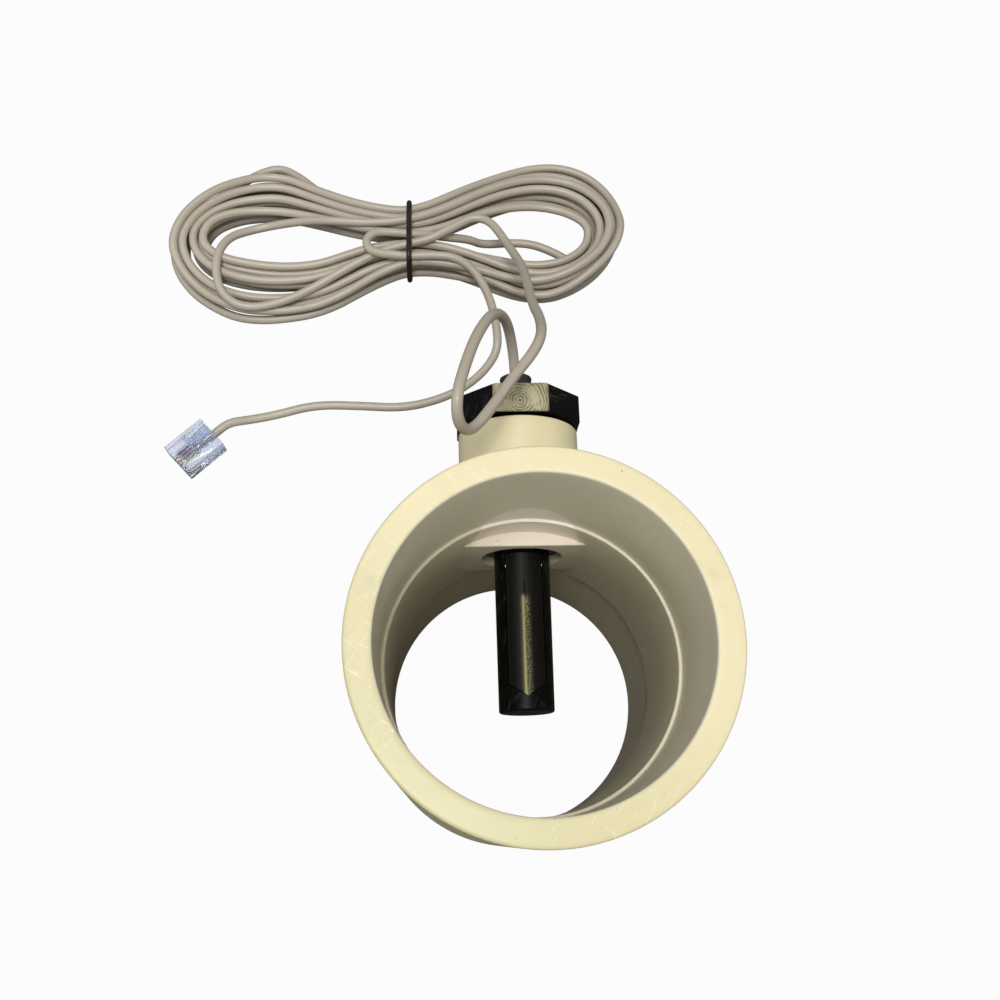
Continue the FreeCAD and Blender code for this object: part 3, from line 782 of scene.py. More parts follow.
def branch_grid():
    """Rows from the inner window to the outer one, each a closed row of points round the branch's axis."""
    inner = window_border(
        tee_columns(inner_window_angle)[: window_cells + 1],
        np.linspace(-pad_half, pad_half, window_cells + 1),
    )
    outer = window_border(
        tee_columns(outer_window_angle)[: window_cells + 1],
        np.linspace(-outer_window_half, outer_window_half, window_cells + 1),
    )
    inner_x = bore_radius * np.cos(inner[:, 0])
    inner_angle = ring_angles(inner_x, inner[:, 1])
    outer_angle = ring_angles(tee_radius * np.cos(outer[:, 0]), outer[:, 1])
    rows = []

    def add(x, y, height):
        rows.append(np.stack(np.broadcast_arrays(x, y, middle_z + height), axis=1))

    arc_y = bore_radius * np.sin(inner[:, 0])
    edge = np.abs(inner[:, 1] / pad_half) > 0.999
    front = pad_plane + np.where(edge, pad_round, 0.0)
    for t in np.linspace(0, 1, 5):
        add(inner_x, (1 - t) * arc_y + t * np.minimum(front, arc_y), inner[:, 1])
    for a in np.radians([30, 60, 90]):
        inset = np.where(edge, pad_round, 0.0) * (1 - np.cos(a))
        drop = np.where(edge, pad_round, 0.0) * (1 - np.sin(a))
        add(inner_x, pad_plane + drop, np.sign(inner[:, 1]) * (np.abs(inner[:, 1]) - inset))
    flat_x, flat_height = rows[-1][:, 0], rows[-1][:, 2] - middle_z
    mouth = port_radius + pad_round
    face_in, face_out = tapped_radius + branch_round, branch_radius - branch_round
    for t in np.linspace(0, 1, 12)[1:]:
        add(
            (1 - t) * flat_x + t * mouth * np.cos(inner_angle),
            pad_plane,
            (1 - t) * flat_height + t * mouth * np.sin(inner_angle),
        )
    profile = np.concatenate(
        [
            arc((mouth, pad_plane + pad_round), pad_round, -90, -180, 4)[1:],
            line((port_radius, pad_plane + pad_round), (port_radius, port_end), 6)[1:],
            line((port_radius, port_end), (tapped_radius, port_end), 3)[1:],
            line((tapped_radius, port_end), (tapped_radius, branch_end - branch_round), 12)[1:],
            arc((face_in, branch_end - branch_round), branch_round, 180, 90, 5)[1:],
            line((face_in, branch_end), (face_out, branch_end), 4)[1:],
            arc((face_out, branch_end - branch_round), branch_round, 90, 0, 5)[1:],
        ]
    )
    for (radius, y), share in zip(profile, np.linspace(0, 1, len(profile))):
        angle = (1 - share) * inner_angle + share * outer_angle
        add(radius * np.cos(angle), y, radius * np.sin(angle))
    cos, sin = np.cos(outer_angle), np.sin(outer_angle)
    ball_x = (branch_radius + fillet) * cos
    ball_height = (branch_radius + fillet) * sin
    ball_y = np.sqrt((tee_radius + fillet) ** 2 - ball_x**2)
    for t in np.linspace(0, 1, 10)[1:]:
        add(branch_radius * cos, (1 - t) * (branch_end - branch_round) + t * ball_y, branch_radius * sin)
    to_branch = np.stack([-cos, 0 * cos, -sin], axis=1)
    to_pipe = -np.stack([ball_x, ball_y, 0 * ball_x], axis=1) / (tee_radius + fillet)
    opening = np.arccos(np.sum(to_branch * to_pipe, axis=1))
    ball = np.stack([ball_x, ball_y, middle_z + ball_height], axis=1)
    for t in np.linspace(0, 1, 9)[1:]:
        way = np.sin((1 - t) * opening)[:, None] * to_branch + np.sin(t * opening)[:, None] * to_pipe
        rows.append(ball + fillet * way / np.sin(opening)[:, None])
    hole_angle = np.arctan2(rows[-1][:, 1], rows[-1][:, 0])
    hole_height = rows[-1][:, 2] - middle_z
    for t in np.linspace(0, 1, 9)[1:]:
        angle = (1 - t) * hole_angle + t * outer[:, 0]
        add(tee_radius * np.cos(angle), tee_radius * np.sin(angle), (1 - t) * hole_height + t * outer[:, 1])
    points = np.stack(rows)
    return points, grid_faces(len(rows), points.shape[1])


tee = add_piece("tee_body_skin", [tee_skin(), branch_grid()], "housing", sharp=50)
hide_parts("tee_body")

# %% [markdown]
# ## The switch body
#
# The black body is one moulding. Seen along its axis it starts as an octagon, becomes a threaded shank, a
# smooth neck and at last a round probe with a slot in its upper side. One grid of rings can do all of it. The
# octagon's ring has flats and small round corners, the thread is a ring whose radius depends on the angle and
# the depth, and in the slot part of the ring dips down one wall, across the floor and up the other.

# %% Switch body: its sizes
body_low, body_high = (np.array(corner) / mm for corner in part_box("switch_body"))
head_half = body_high[0]
head_end = body_high[1]
head_start = branch_end + 0.75
head_corner = 0.45
head_edge = 0.4
pocket_radius = 9.5
pocket_round = 0.3
pocket_floor = head_end - 4.5
shank_start = port_end + 0.3
thread_core = tapped_radius - 0.4
thread_depth = 0.35
thread_pitch = 1.81
neck_radius = port_radius - 0.28
neck_round = 0.3
neck_start = pad_plane + 1.7
probe_end = body_low[1]
probe_root = 6.17
probe_tip = 6.0
probe_round = 0.45
root_round = 0.25
slot_half = 4.05
slot_floor = 49.4
slot_rear = pad_plane + 0.2
slot_side_end = -2.25
slot_point = -4.88
flat_count = 12
corner_count = 6
lower_count = 104
ring_count = 8 * (flat_count + corner_count)
print("head across flats:", round(2 * head_half, 2), "probe end:", round(probe_end, 2))

# %% Switch body: its rings


def octagon(half, corner):
    """Ring of an octagon: eight flats at distance half, joined by arcs of radius corner."""
    inner = (half - corner) / math.cos(math.pi / 8)
    ring = []
    for side in range(8):
        turn = math.pi / 4 * side + math.pi / 8
        hub = inner * np.array([math.cos(turn), math.sin(turn)])
        bend = np.linspace(turn - math.pi / 8, turn + math.pi / 8, corner_count)
        ring.append(hub + corner * np.stack([np.cos(bend), np.sin(bend)], axis=1))
    full = []
    for side in range(8):
        run = line(ring[side][-1], ring[(side + 1) % 8][0], flat_count + 2)[1:-1]
        full += [ring[side], run]
    return np.concatenate(full)


def circle(radius, angle):
    """Ring of a circle at the given angles. The radius is one number or one for each angle."""
    return (radius * np.stack([np.cos(angle), np.sin(angle)])).T


def probe_radius(y):
    """The probe's radius, which falls evenly from root to tip."""
    return probe_tip + (probe_root - probe_tip) * (y - probe_end) / (neck_start - probe_end)


def slotted_ring(y, half_width, closed):
    """Ring of the probe from the slot's left lip, under the probe to its right lip and back over the slot.

    A closed ring stays on the circle there. An open one goes down the wall, across the floor and up.
    """
    radius = probe_radius(y)
    lip = math.asin(min(1.0, half_width / radius))
    under = np.linspace(math.pi / 2 + lip, 2.5 * math.pi - lip, lower_count)
    over_count = ring_count - lower_count
    lower = circle(radius, under)
    if closed:
        over = circle(radius, np.linspace(math.pi / 2 - lip, math.pi / 2 + lip, over_count + 2)[1:-1])
        return np.concatenate([lower, over])
    top = radius * math.cos(lip)
    floor = slot_floor - middle_z
    third = over_count // 3
    right = line((half_width, top), (half_width, floor), third + 2)[1:-1]
    across = line((half_width, floor), (-half_width, floor), over_count - 2 * third)
    left = line((-half_width, floor), (-half_width, top), third + 2)[1:-1]
    return np.concatenate([lower, right, across, left])


def switch_rings():
    """All rings of the body as (ring, depth) pairs from the pocket's floor to the probe's root."""
    round_angle = np.unwrap(np.arctan2(*octagon(head_half, head_corner).T[::-1]))
    rings = [(circle(r, round_angle), pocket_floor) for r in (0.0, 4.0, pocket_radius)]
    rings += [(circle(pocket_radius, round_angle), y) for y in (head_end - 2, head_end - pocket_round)]
    edge = arc((pocket_radius + pocket_round, head_end - pocket_round), pocket_round, 180, 90, 4)[1:]
    rings += [(circle(r, round_angle), y) for r, y in edge]
    outer = octagon(head_half - head_edge, head_corner)
    mouth = circle(pocket_radius + pocket_round, round_angle)
    rings += [((1 - t) * mouth + t * outer, head_end) for t in np.linspace(0, 1, 6)[1:]]
    rear = arc((head_half - head_edge, head_end - head_edge), head_edge, 90, 0, 5)[1:]
    front = arc((head_half - head_edge, head_start + head_edge), head_edge, 0, -90, 5)
    rings += [(octagon(half, head_corner), y) for half, y in np.concatenate([rear, front])]
    even = round_angle[0] + np.linspace(0, 2 * np.pi, ring_count, endpoint=False)
    foot = circle(thread_core, even)
    rings += [((1 - t) * outer + t * foot, head_start) for t in np.linspace(0, 1, 6)[1:]]
    for y in np.arange(head_start - 0.1, shank_start + 0.4, -thread_pitch / 12):
        phase = (y / thread_pitch + even / (2 * np.pi)) % 1.0
        crest = np.clip(1.25 - np.abs(phase - 0.5) * 3.4, 0, 1)
        fade = min(1.0, (y - shank_start - 0.4) / 1.0)
        rings.append((circle(thread_core + thread_depth * crest * fade, even), y))
    start = slotted_ring(neck_start, slot_half, True)
    lip_angle = np.unwrap(np.arctan2(start[:, 1], start[:, 0]))
    lip_angle += 2 * np.pi * np.round((even.mean() - lip_angle.mean()) / (2 * np.pi))
    neck = [(thread_core, shank_start + 0.4), (thread_core - 0.4, shank_start), (neck_radius, shank_start)]
    neck += [(neck_radius, y) for y in np.linspace(shank_start, neck_start + neck_round, 6)[1:]]
    neck += arc((neck_radius - neck_round, neck_start + neck_round), neck_round, 0, -90, 4)[1:].tolist()
    for share, (radius, y) in zip(np.linspace(0, 1, len(neck)), neck):
        rings.append((circle(radius, (1 - share) * even + share * lip_angle), y))
    rings += [(circle(r, lip_angle), neck_start) for r in (7.6, 6.9, probe_root + root_round)]
    root = arc((probe_root + root_round, neck_start - root_round), root_round, 90, 180, 4)[1:]
    rings += [(circle(r, lip_angle), y) for r, y in root]
    return rings


# %% Switch body: one skin
slot_sides = np.linspace(slot_rear, slot_side_end, 24)
slot_rows = np.append(slot_sides, np.linspace(slot_side_end, slot_point, 12)[1:])
tip_rows = np.linspace(slot_point, probe_end + probe_round, 4)[1:]


def slot_width(y, half, side_end, point):
    """Half width of the slot or the flap: full to side_end, then down evenly to nothing at the point."""
    return half * np.clip((y - point) / (side_end - point), 0, 1)


def stood_up(rings, depths):
    """Rings of (across, height over the middle) pairs as rows of a grid, each at its own depth."""
    rings = np.stack(rings)
    y = np.zeros(rings.shape[:2]) + np.reshape(depths, (-1, 1))
    return np.stack([rings[:, :, 0], y, middle_z + rings[:, :, 1]], axis=2)


def switch_skin():
    """The body's grid, without faces over the slot in the rows past its point."""
    rings = switch_rings()
    rings.append((slotted_ring(slot_rear, slot_half, True), slot_rear))
    for y in slot_rows:
        rings.append((slotted_ring(y, slot_width(y, slot_half, slot_side_end, slot_point), False), y))
    point_row = len(rings) - 1
    for y in tip_rows:
        rings.append((slotted_ring(y, 0.0, True), y))
    last = probe_radius(probe_end + probe_round)
    ends = arc((last - probe_round, probe_end + probe_round), probe_round, 0, -90, 6)[1:].tolist()
    ends += [(last - 2.5, probe_end), (1.5, probe_end), (0.0, probe_end)]
    unit = slotted_ring(probe_end + probe_round, 0.0, True) / last
    for radius, y in ends:
        rings.append((radius * unit, y))
    points = stood_up(*zip(*rings))
    faces = grid_faces(len(rings), ring_count)
    row, column = faces[:, 0] // ring_count, faces[:, 0] % ring_count
    return points, faces[~((row >= point_row) & (column >= lower_count - 1))]


switch = add_piece("switch_body_skin", [switch_skin()], "housing", sharp=35)
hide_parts("switch_body")

# %% [markdown]
# ## The flap and the small turned pieces
#
# The flap fills the slot in the probe, and its top carries on the probe's round. Its grid runs across the top
# and round under it, row by row down its length, and the rows close to a point. The fine line down the
# middle is a real moulding seam, so it is cut into the surface. The sleeve, the resin behind the head and the
# tie are a turned profile or a tube.

# %% Flap
flap_low, flap_high = (np.array(corner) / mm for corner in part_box("paddle"))
flap_half = flap_high[0]
flap_rear = flap_high[1]
flap_point = flap_low[1]
flap_floor = flap_low[2]
flap_side_end = flap_point + 2.6
flap_round = 0.14
seam_half = 0.16
seam_depth = 0.18
seam_start = pad_plane - 6.5
seam_end = flap_point + 2.1


def flap_ring(y):
    """Ring of the flap at a depth: over the top with its seam, round the edges, down the sides and under."""
    half = float(slot_width(y, flap_half, flap_side_end, flap_point))
    radius = probe_radius(y)
    soft = min(flap_round, half)
    beside = np.linspace(0.06, 1, 14)
    across = np.concatenate([-beside[::-1], np.linspace(-0.05, 0.05, 9), beside])
    x = across * (half - soft)
    inside = 1 / (1 + np.exp((y - seam_start) / 0.2)) / (1 + np.exp((seam_end - y) / 0.2))
    dip = seam_depth * inside * np.exp(-((x / seam_half) ** 4))
    over = np.column_stack([x, np.sqrt(radius**2 - x**2) - dip])
    edge = math.sqrt(radius**2 - (half - soft) ** 2) - soft
    right = arc((half - soft, edge), soft, 72, 0, 4)
    floor = flap_floor - middle_z
    side = line((half, edge), (half, floor), 5)[1:]
    under = line((half, floor), (-half, floor), 6)[1:-1]
    other = side[::-1] * [-1, 1]
    left = right[::-1] * [-1, 1]
    return np.concatenate([over, right, side, under, other, left])


def flap_skin():
    """The flap's grid, with a flat rear end that closes to its middle."""
    depths = np.linspace(flap_rear, flap_side_end, 60)
    depths = np.append(depths, np.linspace(flap_side_end, flap_point, 14)[1:])
    rings = [flap_ring(y) for y in depths]
    hub = np.tile(rings[0].mean(axis=0), (len(rings[0]), 1))
    rings = [hub] + rings
    depths = np.concatenate([[flap_rear], depths])
    points = stood_up(rings, depths)
    return points, grid_faces(len(rings), points.shape[1])


flap = add_piece("paddle_skin", [flap_skin()], "paddle_arm", sharp=50)
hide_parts("paddle")

# %% Leaf spring
spring_low, spring_high = (np.array(corner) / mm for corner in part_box("return_spring"))
spring_half = spring_high[0]
spring_thick = 0.2
foot_length = 3.6
spring_pad = 1.4
foot_end = spring_high[1] - foot_length
pad_start = spring_low[1] + spring_pad
swing = frame["record"]["behaviour"]["joints"][0]
hinge_y = swing["pos_m"][1] / mm
swing_limit = math.radians(swing["range_deg"][1])


def spring_skin():
    """A strip with a flat foot and pad, and an arm of height low + rise (3 t**2 - 2 t**3) between them."""
    depth = np.linspace(spring_high[1], spring_low[1], 48)
    t = np.clip((foot_end - depth) / (foot_end - pad_start), 0, 1)
    rise = spring_high[2] - spring_low[2] - spring_thick
    low = spring_low[2] + rise * (3 * t**2 - 2 * t**3)
    rings = []
    for y, z in zip(depth, low):
        corners = [(-1, 0), (1, 0), (1, 1), (-1, 1)]
        rings.append([(side * spring_half, y, z + up * spring_thick) for side, up in corners])
    rings = np.array(rings)
    hubs = rings[[0, -1]].mean(axis=1, keepdims=True) + 0 * rings[[0, -1]]
    points = np.concatenate([hubs[:1], rings, hubs[1:]])
    return points, grid_faces(len(points), 4)


spring = add_piece("leaf_spring", [spring_skin()], "housing", sharp=30)
spring_height = spring_high[2] - spring_low[2]
sinks = (hinge_y - spring_low[1]) * math.sin(swing_limit)
spring_keep = (spring_height - sinks) / spring_height
print(f"spring: {spring_height:.2f} mm high, keeps {spring_keep:.2f} of it when the flap is down")
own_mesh(spring)
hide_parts("return_spring")

# %% Sleeve and resin
bush_low, bush_high = (np.array(corner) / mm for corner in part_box("cable_bush"))
bush_radius = 3.0
bush_bore = 2.2
resin_level = head_end - 0.5
turned_columns = 96
sleeve_more = 4.5
sleeve_flare = 0.75


def sleeve_profile():
    """Outside of the sleeve from the resin, over its flared lip and back down its bore."""
    lip = (bush_radius - bush_bore) / 2
    end = bush_high[1] + sleeve_more
    centre = (bush_bore + sleeve_flare + lip, end - lip)
    return np.concatenate(
        [
            line((bush_bore, bush_low[1]), (bush_radius, bush_low[1]), 3),
            line((bush_radius, bush_low[1]), (bush_radius, bush_high[1] - lip), 6)[1:],
            line((bush_radius, bush_high[1] - lip), (bush_radius + sleeve_flare, end - lip), 6)[1:],
            arc(centre, lip, 0, 180, 9)[1:],
            line((bush_bore + sleeve_flare, end - lip), (bush_bore, bush_low[1]), 6)[1:-1],
        ]
    )


def resin_profile():
    """The cast resin: a top that climbs the sleeve and the pocket's wall a little, and an underside."""
    radius = np.linspace(bush_radius - 0.3, pocket_radius - 0.03, 26)
    climb = 0.35 * np.exp(-(radius - bush_radius) / 0.5) + 0.22 * np.exp(-(pocket_radius - radius) / 0.4)
    top = np.column_stack([radius, resin_level + climb])
    under = [(pocket_radius - 0.03, resin_level - 1.5), (bush_radius - 0.3, resin_level - 1.5)]
    return np.concatenate([top, under])


def add_turned(name, profile, node, sharp=40):
    """A ring-shaped piece about the branch's axis that stands for a node."""
    faces = grid_faces(len(profile), turned_columns, loop=True)
    piece = add_piece(name, [(turned(profile, turned_columns), faces)], "housing", sharp)
    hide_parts(node)
    return piece


sleeve = add_turned("cable_sleeve", sleeve_profile(), "cable_bush")
resin = add_turned("head_resin", resin_profile(), "head_potting")

# %% Tie
tie_radius = 0.75
tie_place = hank_middle[0] * mm


def bundle_section():
    """Where the cable's line crosses the plane of the tie, as (y, z) pairs in millimetres."""
    before, after = cable_line[:-1], cable_line[1:]
    crossing = (before[:, 0] - tie_place) * (after[:, 0] - tie_place) < 0
    share = (tie_place - before[crossing, 0]) / (after[crossing, 0] - before[crossing, 0])
    points = before[crossing] + share[:, None] * (after[crossing] - before[crossing])
    return points[np.abs(points[:, 1] / mm - hank_middle[1]) < 20][:, 1:] / mm


def tie_skin():
    """A round band on the outside of the bundle: hull of the strands grown by the two radii.

    The outline in each direction is the strand that reaches farthest that way, plus the growth along it.
    """
    angle = np.linspace(0, 2 * np.pi, 240, endpoint=False)
    section = bundle_section()
    ways = np.stack([np.cos(angle), np.sin(angle)], axis=1)
    grow = cable_radius / mm + tie_radius
    first = [np.argmax(section @ way) for way in ways]
    outline = section[first] + grow * ways
    gaps = np.linalg.norm(np.roll(outline, -1, axis=0) - outline, axis=1)
    along = np.concatenate([[0.0], np.cumsum(gaps)])
    closed = np.vstack([outline, outline[:1]])
    even = np.linspace(0, along[-1], 300, endpoint=False)
    path = np.stack([np.interp(even, along, closed[:, k]) for k in range(2)], axis=1)
    path[:, 1] = np.maximum(path[:, 1], tie_radius + 0.02)
    way = np.roll(path, -1, axis=0) - np.roll(path, 1, axis=0)
    way /= np.linalg.norm(way, axis=1)[:, None]
    out = np.stack([way[:, 1], -way[:, 0]], axis=1)
    around = np.linspace(0, 2 * np.pi, 16, endpoint=False)
    x = hank_middle[0] + tie_radius * np.sin(around)[None, :] + 0 * path[:, :1]
    across = path[:, None, :] + tie_radius * np.cos(around)[None, :, None] * out[:, None, :]
    points = np.concatenate([x[:, :, None], across], axis=2)
    print(f"tie: {len(section)} strands, {along[-1]:.1f} mm round")
    return points, grid_faces(300, 16, loop=True)


tie = add_piece("tie_band", [tie_skin()], "housing", sharp=60)
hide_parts("coil_tie")

# %% [markdown]
# ## The plug
#
# A modular plug is clear plastic with square cavities, so its solid already has the right planes. A copy with
# its doubles merged and its flat faces joined gets a small bevel, because light gathers on soft edges.

# %% Plug shell


def plug_copy():
    """The plug's solid again, with flat faces whole and every edge rounded by a narrow bevel."""
    mesh = nodes["plug_shell"].data.copy()
    mesh.name = "plug_clear_shell"
    work = bmesh.new()
    work.from_mesh(mesh)
    bmesh.ops.remove_doubles(work, verts=work.verts, dist=0.001 * mm)
    bmesh.ops.dissolve_limit(work, angle_limit=math.radians(1), verts=work.verts, edges=work.edges)
    bmesh.ops.recalc_face_normals(work, faces=work.faces)
    work.to_mesh(mesh)
    work.free()
    mesh.shade_smooth()
    mesh.set_sharp_from_angle(angle=math.radians(50))
    piece = bpy.data.objects.new("plug_clear_shell", mesh)
    bpy.context.scene.collection.objects.link(piece)
    bevel = piece.modifiers.new("soft edges", "BEVEL")
    bevel.width = 0.12 * mm
    bevel.segments = 2
    bevel.limit_method = "ANGLE"
    bevel.angle_limit = math.radians(40)
    bevel.harden_normals = False
    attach(piece, "housing")
    return piece


plug = plug_copy()
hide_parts("plug_shell")

# %% [markdown]
# ## Finishes
#
# The tee is creamy PVC with a satin skin: slow changes of tint, fine grain, rubbed and glossy streaks on the
# rim, a few specks of dirt and the line where the mould's cores met, with painted shade and a painted patch of
# light. The black pieces differ mostly in their gloss. The head's upper facet has a painted olive sheen with
# faint round marks from turning it by hand, and the flap a painted highlight streak.

# %% Cream PVC


def cream_finish():
    """Satin PVC: a parting line inside, scuffs, dirt specks, painted shade and a painted pale patch of light.
    """
    finish = Finish("cream_pvc", IOR=1.5, Specular_IOR_Level=0.35, Coat_Weight=0.06, Coat_Roughness=0.2)
    slow = finish.noise(0.03, detail=3.0)
    tint = slow.blend(srgb(236, 226, 186), srgb(228, 217, 174))
    reach = (finish.x**2.0 + finish.y**2.0) ** 0.5
    inside = reach.step((socket_radius + 0.5) * mm, (socket_radius + 0.1) * mm)
    # Painted shade: the front and left of the tee are painted darker and greener.
    front_painted_shade = (finish.x * 0.7 + finish.y).step(0.02, -0.055)
    tint = (front_painted_shade * 0.75).blend(tint, srgb(194, 188, 138))
    # Painted shade: the socket's walls and the bore are painted greyer and a little darker.
    tint = (inside * 0.75).blend(tint, srgb(220, 215, 196))
    height = finish.z - middle_z * mm
    line_noise = finish.noise(0.004, detail=3.0)
    parting = height.size().step(0.16 * mm, 0.05 * mm) * inside * (0.35 + line_noise * 0.6)
    tint = parting.blend(tint, srgb(150, 136, 98))
    # Painted light: a pale patch on the socket wall round the side hole stands for light through the thin
    # wall.
    low_reach = (finish.x / 11.5) ** 2.0 + ((height - (pad_half - 1.0) * mm) / 17.0) ** 2.0
    painted_light_patch = (low_reach * 1e6).step(1.05, 0.9) * finish.y.step(0.026, 0.0275) * inside
    tint = (painted_light_patch * 0.9).blend(tint, srgb(250, 238, 224))
    grime = finish.noise(0.012, detail=6.0, rough=0.7).step(0.6, 0.78)
    tint = (grime * 0.22).blend(tint, srgb(176, 160, 122))
    specks = finish.spots(0.0035, 0.055) * finish.noise(0.02).step(0.5, 0.6)
    tint = (specks * 0.7).blend(tint, srgb(112, 94, 66))
    scuffs = finish.scratches(0.0016, (0.3, 0.2, 0.6), 0.012)
    scuffs = scuffs + finish.scratches(0.0021, (0.9, 0.1, 2.0), 0.01)
    rubbed = scuffs * finish.noise(0.03, detail=2.0).step(0.5, 0.62)
    finish.set(Base_Color=(rubbed * 0.3).blend(tint, srgb(246, 240, 214)))
    finish.set(Roughness=(0.3 + slow * 0.12 + grime * 0.2 - rubbed * 0.12).most(0.14))
    grain = finish.noise(0.0007, detail=2.0) * 0.25 + finish.noise(0.006, detail=2.0) * 2.0
    finish.bump(grain + parting * 1.5 - rubbed * 0.6 - specks, 0.035 * mm, 0.7)
    return finish


dress(tee, cream_finish())

# %% Black mouldings and resin
swirl_x = -0.2 * mm
swirl_y = 59.0 * mm
swirl_period = 0.7 * mm
# The flap's painted highlight streak runs this far left of its seam.
highlight_x = -0.38 * mm


def body_finish():
    """Black moulded plastic, a bit worn all over. The head's upper facet has a painted olive sheen and round
    marks.
    """
    finish = Finish("black_nylon", IOR=1.45, Specular_IOR_Level=0.14)
    slow = finish.noise(0.012, detail=4.0)
    tint = slow.blend(srgb(4, 4, 5), srgb(10, 10, 9))
    facet = finish.z.step(0.0633, 0.0637) * finish.y.step(0.052, 0.0528)
    away = ((finish.x - swirl_x) ** 2.0 + (finish.y - swirl_y) ** 2.0) ** 0.5
    phase = away * (2 * math.pi / swirl_period) + finish.noise(0.0021, detail=4.0) * 11.0
    waves = finish.math("SINE", phase) * 0.5 + 0.5
    marks = waves * facet * finish.noise(0.0025, detail=3.0).step(0.38, 0.62)
    # Painted highlight: the upper facet is painted pale olive for the sheen it reflects; the round marks are
    # real.
    tint = (facet * (0.65 + slow * 0.5)).blend(tint, srgb(200, 192, 156))
    tint = (marks * 0.75).blend(tint, srgb(56, 54, 44))
    scratches = finish.scratches(0.0012, (0.1, 0.7, 0.4), 0.01)
    scratches = scratches + finish.scratches(0.0015, (1.2, 0.2, 1.7), 0.008)
    worn = scratches * finish.noise(0.008, detail=2.0).step(0.46, 0.6)
    dust = finish.noise(0.0009, detail=4.0, rough=0.7).step(0.66, 0.78) * 0.25
    finish.set(Base_Color=(worn * 0.25 + dust * 0.4).blend(tint, srgb(96, 95, 88)))
    finish.set(Roughness=0.3 + slow * 0.14 + dust * 0.3 + marks * 0.1)
    finish.bump(finish.noise(0.0005, detail=2.0) * 0.5 + slow * 1.5 - worn + marks * 0.5, 0.02 * mm)
    return finish


def flap_finish():
    """Black flap, glossier than the body, with faint draw marks along it, a matt seam and a painted highlight.
    """
    finish = Finish("black_flap", IOR=1.5, Specular_IOR_Level=0.2)
    along = finish.noise(0.0006, detail=3.0, vector=finish.stretched((1.0, 0.05, 0.3)))
    slow = finish.noise(0.006, detail=3.0)
    seam = finish.x.size().step(0.3 * mm, 0.12 * mm)
    dust = finish.noise(0.0008, detail=4.0, rough=0.7).step(0.66, 0.8) * 0.2
    tint = slow.blend(srgb(6, 6, 6), srgb(14, 14, 11))
    # Painted highlight: an olive streak left of the seam and a speckled haze stand for a lamp's reflection.
    # The low mask fades them out above y = 17.5 mm, as painted shadow of the tee's rim.
    low = finish.y.step(0.0175, 0.016)
    speckle = finish.noise(0.00025, detail=2.0).step(0.42, 0.62)
    highlight_streak = finish.x.ridge(highlight_x, 0.62 * mm) * (0.6 + along * 0.3)
    highlight_haze = finish.x.ridge(0.0, 1.5 * mm) * speckle * (0.35 + along * 0.5)
    tint = (highlight_streak.most(highlight_haze) * low).blend(tint, srgb(190, 185, 130))
    finish.set(Base_Color=(dust * 0.6 + seam * 0.1).blend(tint, srgb(60, 57, 44)))
    finish.set(Roughness=0.36 + along * 0.2 + seam * 0.1)
    finish.bump(along * 0.6 + slow, 0.015 * mm)
    return finish


def dark_finish(name, tint, other, rough, period, depth):
    """A plain dark moulding or casting with patches of another tint, an uneven gloss and a grain."""
    finish = Finish(name, IOR=1.5)
    patches = finish.noise(period * 6, detail=4.0)
    finish.set(Base_Color=patches.blend(tint, other))
    finish.set(Roughness=rough + finish.noise(period * 2, detail=3.0) * 0.15)
    finish.bump(finish.noise(period, detail=3.0) + patches, depth)
    return finish


dress(switch, body_finish())
dress(flap, flap_finish())
dress(sleeve, dark_finish("black_sleeve", srgb(24, 24, 24), srgb(40, 39, 37), 0.5, 0.0006, 0.02 * mm))
resin_look = dark_finish("black_resin", srgb(12, 12, 13), srgb(24, 23, 22), 0.1, 0.0015, 0.03 * mm)
dress(resin, resin_look)
dress(nodes["magnet_cover"], resin_look)
dress(tie, dark_finish("black_band", srgb(18, 17, 16), srgb(44, 34, 27), 0.34, 0.0005, 0.015 * mm))

# %% Metals, magnet and glass


def metal_finish(name, tint, other, rough, stretch):
    """Bare metal with a grain: noise stretched along the way it was rolled, drawn or ground."""
    finish = Finish(name, Metallic=1.0)
    grain = finish.noise(0.0003, detail=3.0, vector=finish.stretched(stretch))
    stain = finish.noise(0.004, detail=4.0)
    finish.set(Base_Color=stain.blend(tint, other))
    finish.set(Roughness=rough + grain * 0.16 + stain * 0.08)
    finish.bump(grain, 0.003 * mm)
    return finish


def glass_finish():
    """Pale green glass of the reed capsule, with faint ripples from drawing the tube."""
    finish = Finish("reed_glass", Transmission_Weight=1.0, IOR=1.5)
    finish.set(Base_Color=finish.noise(0.003).blend(srgb(196, 226, 206), srgb(214, 236, 222)))
    finish.set(Roughness=0.02 + finish.noise(0.001) * 0.04)
    finish.bump(finish.noise(0.0012, detail=2.0), 0.01 * mm)
    return finish


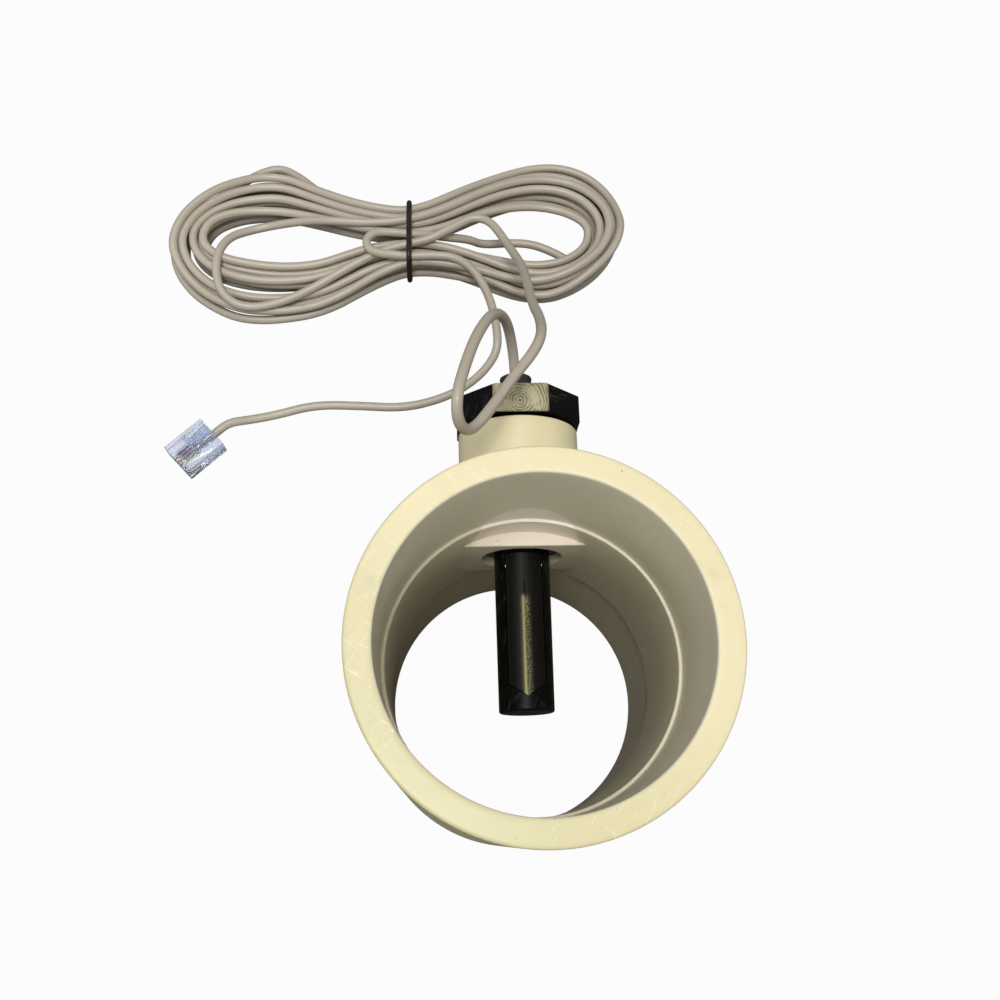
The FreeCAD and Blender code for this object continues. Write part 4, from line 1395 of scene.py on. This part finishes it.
ground_steel = metal_finish("stainless", srgb(196, 196, 194), srgb(168, 167, 164), 0.2, (0.08, 1.0, 1.0))
dress(nodes["hinge_pin"], ground_steel)
dress(spring, metal_finish("spring_steel", srgb(190, 190, 186), srgb(160, 156, 146), 0.24, (1.0, 0.06, 1.0)))
reed_metal = metal_finish("reed_metal", srgb(196, 192, 184), srgb(170, 164, 152), 0.22, (1.0, 0.1, 1.0))
for name in ("reed_blade_near", "reed_blade_far"):
    dress(nodes[name], reed_metal)
ferrite = dark_finish("magnet", srgb(58, 58, 60), srgb(78, 76, 74), 0.5, 0.0004, 0.02 * mm)
dress(nodes["paddle_magnet"], ferrite)
dress(nodes["reed_capsule"], glass_finish())
gold = metal_finish("gold_contact", srgb(232, 198, 118), srgb(214, 172, 92), 0.16, (1.0, 1.0, 0.1))
dress(nodes["plug_contacts"], gold)

# %% Wires and clear plastic


def wire_finish(name, tint, other):
    """Smooth wire insulation with a soft gloss."""
    finish = Finish(name, IOR=1.5)
    finish.set(Base_Color=finish.noise(0.003, detail=3.0).blend(tint, other))
    finish.set(Roughness=0.28 + finish.noise(0.001) * 0.15)
    finish.bump(finish.noise(0.0008), 0.01 * mm)
    return finish


def clear_finish():
    """Clear plug plastic, faintly blue, with flow marks and small scratches."""
    finish = Finish("clear_plastic", Transmission_Weight=0.92, IOR=1.5)
    flow = finish.noise(0.003, detail=3.0)
    scratches = finish.scratches(0.0008, (0.4, 0.3, 0.8), 0.012)
    finish.set(Base_Color=flow.blend(srgb(204, 212, 230), srgb(222, 228, 240)))
    finish.set(Roughness=0.05 + flow * 0.08 + scratches * 0.2)
    finish.bump(flow + scratches * 0.3, 0.02 * mm)
    return finish


red = wire_finish("wire_red", srgb(190, 40, 34), srgb(166, 30, 28))
yellow = wire_finish("wire_yellow", srgb(222, 190, 72), srgb(204, 168, 52))
green = wire_finish("wire_green", srgb(40, 130, 66), srgb(30, 108, 54))
dark = wire_finish("wire_black", srgb(26, 26, 26), srgb(38, 37, 36))
for look, names in (
    (red, ("plug_wire_red", "reed_wire_near")),
    (yellow, ("plug_wire_yellow", "reed_wire_far")),
    (green, ("plug_wire_green",)),
    (dark, ("plug_wire_black",)),
):
    for name in names:
        dress(nodes[name], look)
dress(plug, clear_finish())
